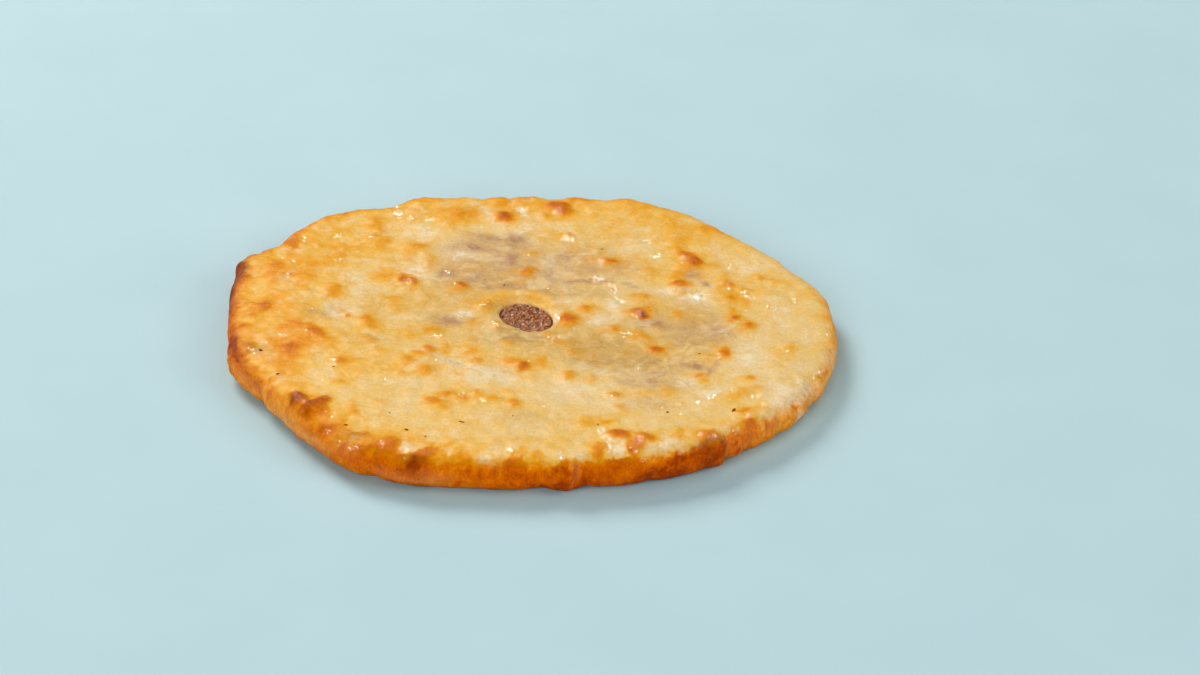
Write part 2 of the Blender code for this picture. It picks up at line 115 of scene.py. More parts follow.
# Browned blisters and patches: x, y, length, width, turn in degrees, browning, rise
SPOTS = (
    (-99.5, 61.4, 24, 6, 100, 0.72, 0.3), (-94, 76.6, 14, 6, 60, 0.6, 0.2),
    (-64.5, 66.2, 20, 8, 95, 0.5, 0.4), (-67, 77.6, 4, 4, 0, 0.55, 0.2),
    (-61.5, 60.1, 5, 4, 0, 0.5, 0.2), (-78, 67.4, 9, 9, 0, 0.45, 0.3),
    (-82, 54.6, 24, 12, 0, 0.42, 0.2), (-86, 81.6, 16, 8, 100, 0.42, 0.2),
    (-50, 83.4, 14, 10, 90, 0.48, 0.3), (-47, 97.2, 18, 11, 0, 0.52, 0.4),
    (-33.3, 84.6, 16, 10, 10, 0.6, 0.7), (-37, 77.4, 7, 10, 0, 0.5, 0.3),
    (-13.2, 83.9, 6, 8, 0, 0.92, 0.8), (-17, 100.2, 12, 10, 0, 0.58, 0.4),
    (-5, 98.4, 9, 9, 0, 0.52, 0.3), (7.5, 95.2, 9, 6, -25, 0.88, 0.9),
    (10.6, 91.8, 5, 8, 15, 0.86, 0.6), (2.5, 86.2, 5, 6, 0, 0.62, 0.4), (-48, 56, 8, 7, 0, 0.6, 0.5),
    (-50.5, 48.6, 3.5, 12, 0, 0.45, 0.2), (12.5, 69.2, 7, 5, 0, 0.48, 0.4),
    (14, 102.6, 8, 8, 0, 0.52, 0.2), (-1, 104.6, 10, 5, 0, 0.58, 0.2), (40, 101.4, 16, 8, 0, 0.46, 0.3),
    (56, 94.6, 6, 16, 0, 0.46, 0.2), (52, 86.6, 5, 11, 10, 0.46, 0.2), (44.5, 95.6, 7, 7, 0, 0.46, 0.2),
    (58, 77.6, 11, 15, 0, 0.46, 0.2), (68.7, 80.4, 4, 8, 0, 0.62, 0.3),
    (75, 79.6, 8, 16, 40, 0.58, 0.2), (61, 55.8, 8, 6, -45, 0.78, 0.6), (63.4, 49.5, 6, 9, 0, 0.92, 1),
    (60.5, 45.2, 6, 8, 0, 0.6, 0.4), (57, 65.4, 6, 16, 10, 0.46, 0.3),
    (58.2, 31.4, 7.5, 7.5, 0, 0.8, 0.8), (57, 39.4, 5, 8, 0, 0.52, 0.3),
    (58.5, 26.6, 4, 6, 0, 0.55, 0.2), (30, 48.3, 6, 5, 0, 0.74, 0.6), (-1.5, 53.7, 4, 4, 0, 0.52, 0.4),
    (-3, 36.9, 6, 8, 0, 0.74, 0.8), (-6, 36.4, 7, 9, 0, 0.4, 0.3), (-42, 43.2, 5.5, 13, 5, 0.55, 0.4),
    (-25, 43.2, 7, 7, 30, 0.45, 0.4), (-28.7, 24.3, 5, 6, 20, 0.86, 0.6),
    (-29.5, 21.1, 4, 4, 0, 0.6, 0.2), (-51.7, 27.5, 4.5, 5.5, -20, 0.86, 0.5),
    (-47.7, 26.2, 3, 6, 10, 0.78, 0.4), (-57, 31.2, 18, 13, -20, 0.48, 0.4),
    (-54, 11.9, 6, 6, 0, 0.48, 0.3), (-53, 4.6, 4.5, 7, 0, 0.42, 0.2), (-42, 12.6, 4, 6, 0, 0.34, 0.2),
    (-18, 7.8, 4.5, 4.5, 0, 0.66, 0.5), (-22.5, 7.4, 6, 5, 0, 0.48, 0.3),
    (-22.7, -3.6, 4.5, 6, 0, 0.46, 0.3), (-13, -6.3, 3, 6, 25, 0.48, 0.4),
    (-37.5, -12, 9, 7, 0, 0.58, 0.5), (-48, -15.6, 14, 9, 0, 0.4, 0.3),
    (-38, -27.2, 4.5, 6, 10, 0.76, 0.6), (-43, -30.1, 7, 2.6, -15, 0.62, 0.3),
    (-46.3, -36, 6, 9, 20, 0.6, 0.5), (-39, -43.7, 8, 7, 0, 0.58, 0.6),
    (-37, -42.2, 3, 6, 25, 0.3, 0.1), (-47, -46.8, 5, 4, 0, 0.48, 0.4),
    (-32.5, -23.6, 4, 10, 0, 0.42, 0.3), (-21.5, -26.6, 4.5, 4.5, 0, 0.44, 0.3),
    (-24, -28.7, 4, 3, 0, 0.48, 0.1), (-20, -36, 4.5, 7, -10, 0.64, 0.5),
    (-6.8, -34, 6, 6, 0, 0.66, 0.5), (-1.5, -38.2, 5.5, 8, 15, 0.74, 0.6),
    (-8.3, -19.4, 7, 3, -50, 0.55, 0.3), (-25.5, -46.4, 5, 3, -30, 0.4, 0.2),
    (-25, -53.1, 4.5, 7, 0, 0.42, 0.3), (5, -32.6, 4.5, 6, 0, 0.48, 0.3),
    (11, -16.6, 8, 5, -35, 0.5, 0.3), (6.7, -12.6, 4, 4.5, 0, 0.5, 0.3),
    (17.5, -24.3, 6, 6.5, 0, 0.54, 0.4), (24.6, -26.2, 1.5, 4.5, 0, 0.45, 0.1),
    (37, -23.4, 5, 3, 0, 0.36, 0.2), (43, -11.3, 5.5, 9, 30, 0.56, 0.4),
    (49, -20.7, 7, 5.5, 0, 0.82, 0.6), (53, -22.9, 5, 3, -30, 0.42, 0.2),
    (32.8, -6, 5, 5.5, 0, 0.62, 0.5), (29.5, -6.4, 4, 4, 0, 0.48, 0.2),
    (14.3, 0, 7.4, 8, 35, 0.74, 0.8), (14.6, 0.6, 3.6, 4.4, 0, 0.94, 0.2),
    (13, -4.6, 5, 4, 0, 0.55, 0.4), (20.6, 9.5, 6, 6.5, 10, 0.74, 0.5),
    (40.5, 8.1, 8, 4, 15, 0.84, 0.7), (43, 5, 4, 5, 30, 0.98, 0.5), (45, 12.1, 3, 4, 0, 0.62, 0.2),
    (42.5, 21.2, 7, 5.5, 0, 0.54, 0.4), (57.2, 8.9, 4.5, 7, 0, 0.52, 0.3),
    (47, 41.1, 6, 6, 0, 0.38, 0.2), (77, 32.3, 6, 5.5, 0, 0.68, 0.5), (76.2, 39.4, 3, 9, 0, 0.48, 0.3),
    (77.8, 21.2, 3.5, 5.5, 0, 0.66, 0.4), (74, 25.2, 8, 4.5, -20, 0.5, 0.4),
    (78.6, 11.2, 3.5, 6.5, 0, 0.58, 0.4), (79.7, 5.5, 4, 6, -20, 0.78, 0.5),
    (90, 37.9, 3, 6, 0, 0.54, 0.3), (95.2, 38.3, 1.8, 2.5, 0, 0.58, 0.1),
    (84.5, 28.6, 3, 4.5, 0, 0.46, 0.2), (84, 19.1, 3, 4, 0, 0.46, 0.2),
    (84.2, -0.2, 5, 6.5, -25, 0.76, 0.6), (82, -3.1, 3, 5, 0, 0.5, 0.3), (72, 48.6, 5, 6, 0, 0.42, 0.2),
    (100.5, -16.3, 4.5, 11, 5, 0.46, 0.4), (96, -22.9, 4, 5, 0, 0.42, 0.2),
    (75, -21.7, 6, 8.5, 0, 0.74, 0.6), (70, -25.1, 6, 5, 0, 0.46, 0.3),
    (64.5, -40.2, 5.5, 4, 0, 0.58, 0.5), (67, -43.4, 4, 6, 30, 0.42, 0.2),
    (84, -41.2, 5, 4.5, 0, 0.62, 0.5), (80.5, -52.2, 10, 4.5, 45, 0.52, 0.6),
    (87, -48.7, 7, 4.5, 10, 0.5, 0.6), (53, -52.8, 6, 8, 0, 0.48, 0.4), (45, -54.6, 7, 6, 0, 0.42, 0.3),
    (33.3, -57.3, 5, 5, 0, 0.64, 0.5), (36, -65.3, 5, 7, 0, 0.54, 0.4),
    (15.8, -43.7, 6.5, 8, 10, 0.66, 0.6), (24.2, -45.6, 4, 6, 0, 0.44, 0.3),
    (22.5, -76.8, 5, 9, 0, 0.44, 0.4), (30.5, -77.1, 6, 3, 15, 0.54, 0.4),
    (-30, -61.5, 8, 5, 0, 0.6, 0.5), (-23, -63.3, 5, 3.5, 0, 0.62, 0.4),
    (-18.8, -60, 5, 7, 20, 0.56, 0.5), (-34.5, -66.6, 7, 3.6, -20, 0.72, 0.7),
    (-30.5, -68.6, 3, 6, 25, 0.42, 0.3), (-12.3, -63.8, 5, 3, 0, 0.5, 0.4),
    (-4.5, -66, 5, 6, 0, 0.62, 0.5), (-7, -57.4, 4, 3.5, 0, 0.42, 0.2), (35, -86.5, 9, 6, -15, 0.84, 1),
    (45.5, -88.6, 8, 4, -30, 0.74, 0.8), (42.5, -93, 4.5, 9, 0, 0.72, 0.5),
    (28, -95.3, 7, 7, 0, 0.6, 0.4), (-104, 2.5, 5, 6.5, 15, 0.76, 0.5), (-105, 7.6, 3, 4, 0, 0.52, 0.2),
    (-78.3, 14.8, 7, 12, 0, 0.62, 0.6), (-103, 32.2, 6, 16, 0, 0.64, 0.4),
    (-101, 26.9, 10, 6, 0, 0.6, 0.3), (-90.5, 27.4, 7, 9, 0, 0.54, 0.3),
    (-89, 36.4, 18, 8, 5, 0.48, 0.3), (-79, 45.4, 5, 5, 0, 0.56, 0.3), (-115, 23.6, 4, 8, 0, 0.8, 0.2),
    (-98.5, 11.6, 5, 7, 0, 0.46, 0.2), (-95.5, 4.4, 7, 6, 0, 0.48, 0.3),
    # The spot at (-82, -18.5) is browned dough, and its dark strip also paints the shade beside the
    # raised flap there.
    (-92, -13.2, 9, 11, 0, 0.64, 0.1), (-82, -18.5, 13, 5, -48, 0.8, 0.5),
    (-91, -31.1, 8, 11, 0, 0.76, 0.3), (-86.5, -24.4, 15, 16, 0, 0.6, 0.2),
    (-77, -26.4, 7, 12, 30, 0.4, 0.2), (-98.5, -28.6, 4.5, 11, 20, 0.52, 0.3),
    (-64, -4.8, 5, 5.5, 0, 0.6, 0.4), (-61.5, -9.8, 8, 7, -30, 0.64, 0.4),
    (-58, -16.4, 4, 4.5, 0, 0.48, 0.2), (-62, -22.6, 6, 5, -40, 0.48, 0.3),
    (-57, -29.9, 6, 3, 0, 0.48, 0.2), (-71.5, -38.8, 5, 5.5, 0, 0.68, 0.4),
    (-67, -37.4, 6, 5, 0, 0.48, 0.2), (-66, -43.1, 15, 10, 0, 0.4, 0.3),
    (-71.2, -2.7, 1.6, 3, 0, 0.6, 0.1), (-73, 0.3, 1.6, 2.2, 0, 0.5, 0.1),
    (-63.4, -20.2, 1.4, 1.8, 0, 0.55, 0.1), (-70, -54.1, 7, 3.5, 10, 0.52, 0.3),
    (-67.5, -84.6, 7, 9, 20, 0.56, 0.3), (-63.5, -74.6, 3, 11, 15, 0.52, 0.3),
    (-52, -98.6, 6, 8, 0, 0.78, 0.3), (-48, -96.4, 4, 9, 0, 0.7, 0.2),
    (58, -85.4, 10, 6, 20, 0.44, 0.2), (68, -84, 10, 7, 30, 0.7, 0.5), (83, -72.8, 8, 6, 35, 0.6, 0.4),
    (74.5, -74.9, 6, 5, 0, 0.46, 0.2), (81.5, -64.1, 6, 6, 0, 0.5, 0.3),
    (116, 11.8, 3.5, 7, 0, 0.46, 0.1), (-86.5, -67.8, 8, 10, 0, 0.97, 0.9),
    (-82, -72.7, 10, 6, -50, 0.93, 0.6), (-80, -77.5, 6, 8, 0, 0.9, 0.5),
    (-77, -70.8, 12, 5, 55, 0.95, 0.9),
)

# The golden skin over the puffed arc: x, y, length, width, turn in degrees, browning
ARC_SKIN = (
    (-18.5, 10.6, 9.0, 6.0, 60.0, 0.51),
    (-13.5, 16.4, 12.0, 6.5, 36.0, 0.42),
    (-6.0, 18.6, 14.0, 6.5, 0.0, 0.37),
    (1.4, 17.0, 12.0, 6.0, -26.0, 0.35),
    (7.0, 12.8, 11.0, 5.5, -52.0, 0.31),
)

# Scorched dough: x, y, length, width, turn in degrees, strength, rise
SCORCHES = (
    (-86.5, -67, 7, 8, 0, 0.35, 0.5), (-79, -71.6, 10, 4, 55, 0.25, 0.3),
    (43, 4.8, 3, 2.6, 0, 0.65, 0.1), (-28.4, 26, 2.6, 3, 0, 0.3, 0), (-1.2, -36.5, 2.4, 4, 0, 0.28, 0),
    (-62.5, -91.8, 12, 6, -15, 0.3, 0.4), (-39, -105.4, 10, 4, 0, 0.45, 0.2),
    (-105, -30.4, 12, 8, -20, 0.28, 0.2), (69, -87.6, 14, 5, 30, 0.4, 0.3),
)

# Mauve shadows of beans under thin dough: x, y, length, width, turn in degrees, strength
BEAN_SHADOWS = (
    (-19, 67, 18, 7, -5, 0.95), (-8, 65, 8, 16, -10, 0.95), (-25, 58, 24, 12, 10, 0.85),
    (-10, 48, 12, 14, 0, 0.9), (-34.5, 35, 8, 12, 0, 0.95), (-22, 32, 20, 14, 0, 0.75),
    (-30, 46, 12, 10, 0, 0.5), (12.5, 51, 12, 12, 0, 0.85), (20, 41, 26, 14, 0, 0.55),
    (20, 31.5, 24, 5, 0, 0.85), (5, 38, 8, 18, 0, 0.6), (37, 43, 10, 12, 0, 0.45),
    (63, 40, 8, 9, 0, 0.8), (68.5, 33.5, 6, 4, -40, 0.9), (47.5, 1, 12, 7, -20, 1),
    # The row at (-8, 12.6) darkens the dip just behind the vent: mash showing through, and painted
    # shade in the dip.
    (73, -5, 12, 13, 0, 0.65), (-32, -3, 14, 9, -10, 0.85), (-8, 12.6, 8, 3, 12, 0.6),
    (9, 10, 5, 3, -40, 0.6), (48, -39, 16, 5, 10, 0.65), (62.5, -32, 10, 5, -20, 0.9),
    (70, -35, 3, 12, -15, 0.75), (47, -62, 16, 10, 0, 0.5), (45, -46, 24, 8, 0, 0.55),
    (-30, -35, 22, 3, -32, 0.55), (-76, 2, 8, 11, 0, 0.45), (-10, -42, 14, 8, 0, 0.35),
    (65, -5, 26, 24, 0, 0.4), (-8, 34, 46, 44, 0, 0.45), (18, 46, 40, 36, 0, 0.4),
)

# Olive shadows of the oily mash under thin dough: x, y, length, width, turn in degrees, strength
OILY_SHADOWS = (
    (38.5, 29.5, 7, 3, -30, 0.8), (43, 0, 14, 9, -10, 0.8), (-7, 26, 20, 6, 5, 0.55),
    # The row at (-6, 12.9) darkens the dip just behind the vent: oily mash showing through, and painted
    # shade in the dip.
    (6.5, 21.5, 10, 3, -28, 0.65), (-6, 12.9, 12, 4, 8, 1), (-4, -15, 30, 10, 0, 0.95),
    (-14, 24.5, 14, 5, 8, 0.85), (-9, -9.5, 14, 6, 8, 0.8), (25, -18, 36, 16, -5, 0.75),
    (40, -30, 44, 20, 0, 0.85), (22, -31, 14, 6, 0, 0.75), (62, -14, 20, 14, 0, 0.6),
    (-84, -2, 12, 8, -20, 0.6), (-5, 60, 24, 20, 0, 0.3), (-18, 42, 30, 24, 0, 0.35),
    (60, 20, 9, 14, 0, 0.45), (0, -75, 26, 12, 0, 0.3), (-62, 6, 14, 24, 0, 0.3),
    (20, 22, 30, 8, 0, 0.4), (55, -45, 20, 20, 0, 0.3), (-60, -20, 16, 10, 0, 0.35),
    (10, -12, 70, 34, 0, 0.45), (58, 4, 44, 40, 0, 0.4), (-34, 14, 36, 60, 0, 0.3),
)

# Thin pale films of dough, and pale patches painted for the broad sheen of the butter: x, y, length,
# width, turn in degrees, strength
PALE_FILMS_AND_SHEEN = (
    (-21, 86, 22, 6, -60, 0.68), (-6.5, 89, 12, 3.5, -70, 0.98), (-46, 69, 18, 12, -20, 0.75),
    (-46, 36, 11, 18, 10, 0.75), (-28, 51, 16, 8, 0, 0.75), (-5, 75, 10, 8, 0, 0.75),
    (5, 47, 6, 10, 0, 0.52), (-74, 0, 10, 13, 0, 0.75), (-72, 28, 14, 7, -40, 0.6),
    (-69, 15, 5, 20, 0, 0.45), (-26.5, 2, 7, 6, 0, 0.98), (10, 3, 3.5, 9, 0, 1),
    (27, 0, 10, 10, 0, 0.68), (13, 14, 10, 6, -30, 0.6), (32, 12, 6, 16, 0, 0.75),
    (52, 27, 14, 6, 0, 0.68), (-18, -45, 26, 14, 0, 0.68), (18, -52, 34, 12, 0, 0.52),
    (-28, -36, 22, 4, -32, 0.68), (26, -38, 20, 6, -25, 0.45), (60, -45, 8, 10, 0, 0.75),
    (70, -52, 12, 6, 25, 1), (85, -24, 16, 22, 0, 0.75), (64, 22, 14, 12, 0, 0.68),
    (85, 50, 20, 14, 0, 0.52), (97, 8, 8, 20, -15, 0.6), (96, -45, 20, 16, 0, 0.52),
    (101, -52, 12, 10, 0, 0.68), (30, -62, 24, 10, 0, 0.45), (65, -62, 10, 12, 0, 0.45),
    (35, -92, 7, 12, 0, 0.9), (-10, -101, 4, 9, 0, 0.6), (-43.5, -98, 4, 9, 0, 0.68),
    (-37, -102, 5, 5, 0, 0.68), (-97, 51, 10, 6, 20, 0.6), (-97, 28, 5, 9, 0, 0.52),
    (40, 62, 16, 14, 0, 0.45),
)

# Wide regions that baked darker or paler: x, y, length, width, turn in degrees, browning
REGIONS = (
    (-108, 10, 36, 120, 0, 0.2), (-92, 25, 30, 60, 0, 0.1), (-90, -22, 30, 40, 0, 0.1),
    (-75, 60, 60, 40, 30, 0.1), (-80, -75, 60, 30, -40, 0.08), (-20, 95, 90, 30, 0, 0.12),
    (30, 90, 90, 40, 0, 0.1), (60, 75, 40, 40, 0, 0.08), (80, 30, 60, 60, 0, 0.04),
    (20, 10, 90, 60, 0, -0.06), (85, -20, 50, 70, 0, -0.1), (20, -55, 110, 40, 0, -0.1),
    (-10, 50, 60, 50, 0, -0.1), (-40, 60, 30, 30, 0, -0.05), (-35, -96.5, 50, 14, -20, 0.26),
    (-92.5, -43, 44, 13, -64, 0.28), (76, -79, 22, 8, 44, 0.16),
)

# Wet glistening patches with beads of butter: x, y, length, width, turn in degrees
WET_PATCHES = (
    (17.5, 35.5, 5, 4, 0), (26, 34.5, 9, 6, -20), (31.5, 27, 4, 12, 10), (34.5, 17, 5, 6, 0),
    (26.5, 47, 4, 7, -10), (65.5, 22.5, 8, 8, 0), (45, 67, 5, 4, 0), (48.5, 55, 6, 6, -30),
    (12.5, 66, 6, 8, 0), (85, 24, 4, 9, 25), (94, 15, 4, 6, 0), (103.5, 21.5, 3, 5, 0),
    (-57.5, 84, 5, 9, 0), (-52.5, 81, 5, 5, 0), (-49, 26, 4, 6, 20), (-31, 26, 3, 4, 0),
    (-14.5, -5, 4, 6, 20), (42.5, 6, 5, 7, 0), (-23.5, -60.5, 4, 5, 0), (28.5, -83, 3, 10, 15),
    (43, -92, 3, 6, 0), (83.5, -68.5, 4, 4, 0), (89, -60, 5, 3, 20), (104, -41, 4, 6, -15),
    (111, -32, 4, 8, -30), (71, -84, 8, 4, 30), (-51.5, -98, 3, 5, 0), (-63, -96, 8, 4, -40),
    (-13.5, -104, 6, 4, 0), (57, -61.5, 3, 2.4, 0), (98.5, -19, 3, 4, 0), (-80, 64, 4, 4, 0),
    (9.8, 2, 3, 8, 0), (-18.5, 8.5, 7, 4, 30), (-26.5, 1.5, 3, 3, 0), (9.5, -14.5, 6, 5, 0),
    (4, -7.5, 3, 2, 0), (-34.5, 36, 3, 2, 0), (-5, 37.5, 4, 3, 0), (77.5, 30, 3, 9, 0),
    (-23, 102, 4, 6, 0), (-59, 93, 4, 4, 0), (-7, 91, 4, 8, -70), (8, 90, 4, 5, 0),
    (31.5, -92, 4, 10, 0), (59.5, 53, 3, 5, 0), (-74, -38, 4, 4, 0), (-79, 41, 4, 4, 0),
    (-16, -65, 4, 4, 0), (70, -55, 6, 3, 20), (86, -53, 4, 4, 0), (-44, 79, 4, 4, 0),
    (-5, -100, 4, 4, 0), (-66, 64, 4, 6, 0), (-95, -20, 4, 5, 0), (37, -9, 4, 4, 0), (65, -59, 4, 3, 0),
    (78, 49, 3, 5, 0), (-97, 27, 3, 5, 0), (-97, 39, 3, 5, 0), (-94, 60, 3, 5, 0), (13, 71, 3, 4, 0),
    (-36, -16, 4, 3, 0), (79, -77, 4, 4, 0),
)

# Char flecks: x, y, length, width, turn in degrees
FLECKS = (
    (-102.2, -32, 2.2, 1.2, 85), (-94, -49.5, 1.6, 1.1, -15), (-73.4, -43.5, 1, 0.8, 0),
    (-65.6, -84.6, 1.6, 0.9, 80), (-43, -87, 1.8, 1.1, 20), (-35.8, -91, 1, 0.8, 0),
    (-23.2, -80.7, 3, 0.9, 3), (-50, -75.3, 0.8, 0.6, 0), (53.2, -68, 1.1, 0.9, 80),
    (78, -64.3, 2.8, 1.3, -70), (65.5, -23, 1, 0.7, 90), (26.5, 58.5, 1.8, 0.6, 70),
    (-11.5, 26, 1.4, 0.8, 20), (27.4, -79, 0.9, 0.6, 0), (-4.3, -75.5, 0.8, 0.5, 0),
)

# How browned the rim's side is, every 15 degrees from +X to +Y
SIDE_BROWNING = (
    0.46, 0.52, 0.58, 0.6, 0.62, 0.66, 0.66, 0.66, 0.68, 0.72, 0.8, 0.84, 0.82, 0.7, 0.56, 0.66, 0.78,
    0.84, 0.88, 0.94, 1, 0.8, 0.54, 0.44,
)

# How far down the side its browning starts, in parts of the way from its top to its bottom edge
SIDE_START = (
    0.32, 0.25, 0.25, 0.2, 0.15, 0.1, 0.08, 0.08, 0.08, 0.08, 0.1, 0.1, 0.1, 0, 0.08, 0.02, 0.1, 0.17,
    0.22, 0.23, 0.26, 0.25, 0.33, 0.48,
)

# Browned blotches of the rim: degrees round, part of the way down, width in degrees, height, tone
SIDE_BLOTCHES = (
    (225, 0.15, 9, 0.44, 0.72), (235, 0.08, 6, 0.24, 0.66), (325, 0.04, 6, 0.26, 0.4),
    (191.8, 0.3, 5, 0.26, 0.94), (196.5, 0.22, 8, 0.22, 0.82), (195.5, 0.04, 4, 0.24, 0.66),
    (203.5, 0.42, 4, 0.36, 0.64), (206.5, 0.45, 1.6, 0.3, 0.76), (212, 0.36, 4, 0.26, 0.64),
    (218.3, 0.14, 4.4, 0.24, 0.97), (222.3, 0.04, 2.4, 0.42, 0.96), (223.5, 0.2, 3, 0.18, 0.93),
    (218, 0.38, 3, 0.26, 0.68), (226, 0.38, 5, 0.22, 0.72), (231.5, 0.02, 4, 0.13, 0.64),
    (237, 0, 4, 0.14, 0.66), (235.5, 0.24, 3, 0.14, 0.76), (238, 0.27, 4, 0.12, 0.76),
    (231.5, 0.35, 3, 0.3, 0.72), (239.5, 0.46, 5, 0.28, 0.84), (242.5, 0.3, 2.6, 0.42, 0.9),
    (243.2, 0.02, 4, 0.3, 0.7), (245, 0.26, 6, 0.36, 0.76), (249.8, 0.34, 3, 0.24, 0.99),
    (248.3, 0.43, 3, 0.12, 0.92), (251, 0.16, 3, 0.22, 0.86), (252.5, 0.05, 3, 0.2, 0.74),
    (254.3, -0.12, 1.6, 0.12, 0.56), (257.5, 0.12, 3, 0.18, 0.64), (268.5, 0.33, 4, 0.34, 0.89),
    (269, 0.14, 2.2, 0.3, 0.72), (269.5, 0, 4, 0.2, 0.52), (273, 0.1, 2.6, 0.2, 0.6),
    (278.8, 0.35, 2, 0.4, 0.87), (279, 0.18, 1.4, 0.2, 0.7), (285.5, 0.12, 2.4, 0.3, 0.72),
    (284, 0.42, 4, 0.26, 0.85), (290, 0.36, 7, 0.26, 0.97), (289.5, 0.24, 5, 0.1, 0.86),
    (292.6, 0.12, 1.6, 0.34, 0.8), (294.2, -0.05, 2.4, 0.3, 0.74), (296, -0.16, 4, 0.2, 0.66),
    (304, 0.43, 13, 0.26, 1), (308, 0.34, 5, 0.2, 0.95), (310, 0.09, 4, 0.18, 0.74),
    (311, 0.34, 4, 0.26, 0.9), (306.5, -0.12, 4, 0.16, 0.46), (317.5, 0.42, 5, 0.28, 0.78),
    (319.8, 0.27, 2.6, 0.24, 0.85), (321.5, -0.08, 4, 0.14, 0.62), (324.2, 0.38, 3, 0.2, 0.73),
    (331.5, 0.4, 3, 0.12, 0.58), (334.5, 0.46, 5, 0.16, 0.62), (343.5, 0.26, 2.6, 0.12, 0.54),
    (345.5, 0.38, 6, 0.14, 0.57),
)

# Cream folds of the rim, and thin painted highlights along ridges near 262, 277.8 and 303.5 degrees,
# laid out in the same way, with their strength
SIDE_FOLDS_AND_HIGHLIGHTS = (
    (197.5, 0.34, 5, 0.14, 0.36), (210, 0.5, 5, 0.22, 0.22), (221, 0.43, 5, 0.18, 0.4),
    (228, 0.12, 8, 0.14, 0.26), (230.5, 0.2, 2.8, 0.12, 0.65), (236.5, 0.1, 4, 0.14, 0.26),
    (234.5, 0.38, 3, 0.24, 0.43), (238.5, 0.38, 2, 0.2, 0.36), (247.5, 0.02, 3.5, 0.26, 0.5),
    (253, 0.38, 3, 0.2, 0.25), (263.5, 0.08, 3, 0.3, 0.43), (264.8, 0.26, 3, 0.2, 0.5),
    (262, 0.18, 1.5, 0.2, 0.58), (267, 0, 2, 0.3, 0.36), (277.8, 0.1, 0.8, 0.26, 0.72),
    (282.5, 0.12, 3, 0.38, 0.54), (280.3, 0.42, 2, 0.16, 0.43), (289.5, 0, 4.5, 0.34, 0.68),
    (294.8, 0, 1.4, 0.16, 0.58), (297, 0.12, 4, 0.26, 0.61), (294.5, 0.33, 2.6, 0.14, 0.58),
    (301, 0.12, 6, 0.24, 0.5), (303.5, 0.27, 4, 0.1, 0.4), (314, 0.1, 4, 0.3, 0.3),
    (323.5, 0.16, 4, 0.24, 0.34), (327, 0.24, 4, 0.18, 0.34), (329.5, 0.14, 8, 0.28, 0.61),
    (336, 0.2, 6, 0.24, 0.58), (337.5, 0.36, 4, 0.2, 0.43),
)

# Floury stretches of the rim, laid out in the same way
SIDE_FLOUR = (
    (201, 0.45, 12, 0.26, 0.22), (218, 0.52, 24, 0.26, 0.75), (234, 0.38, 3, 0.24, 0.26),
    (249, 0.54, 12, 0.16, 0.6), (212, 0.42, 14, 0.36, 0.16), (222, 0.4, 10, 0.28, 0.1),
    (236, 0.36, 7, 0.26, 0.12), (249, 0.5, 14, 0.2, 0.05), (265, 0.24, 5, 0.2, 0.1),
    (280.5, 0.34, 1.6, 0.4, 0.14), (296, 0.26, 4, 0.2, 0.08), (313, 0.34, 3, 0.5, 0.12),
    (320, 0.4, 12, 0.5, 0.1), (326, 0.36, 9, 0.34, 0.22), (336, 0.4, 8, 0.26, 0.18),
    (348, 0.38, 12, 0.3, 0.1),
)

# Creases of the rim, laid out in the same way, with their depth in millimetres
SIDE_CREASES = (
    (193.5, 0.24, 6, 0.1, 0.9), (198, 0.3, 5, 0.1, 1.2), (201.5, 0.38, 4, 0.12, 1.2),
    (204.5, 0.46, 3, 0.16, 1), (211, 0.3, 1.4, 0.4, 0.7), (229, 0.32, 1.2, 0.36, 0.6),
    (235.5, 0.3, 1.2, 0.4, 0.6), (280.6, 0.3, 0.9, 0.44, 0.6), (301, 0.4, 1.2, 0.34, 0.5),
    (315.5, 0.3, 1.2, 0.5, 0.8), (323, 0.34, 1.1, 0.44, 0.7), (331.5, 0.3, 1.3, 0.4, 0.7),
    (346, 0.36, 1.6, 0.36, 0.5),
)

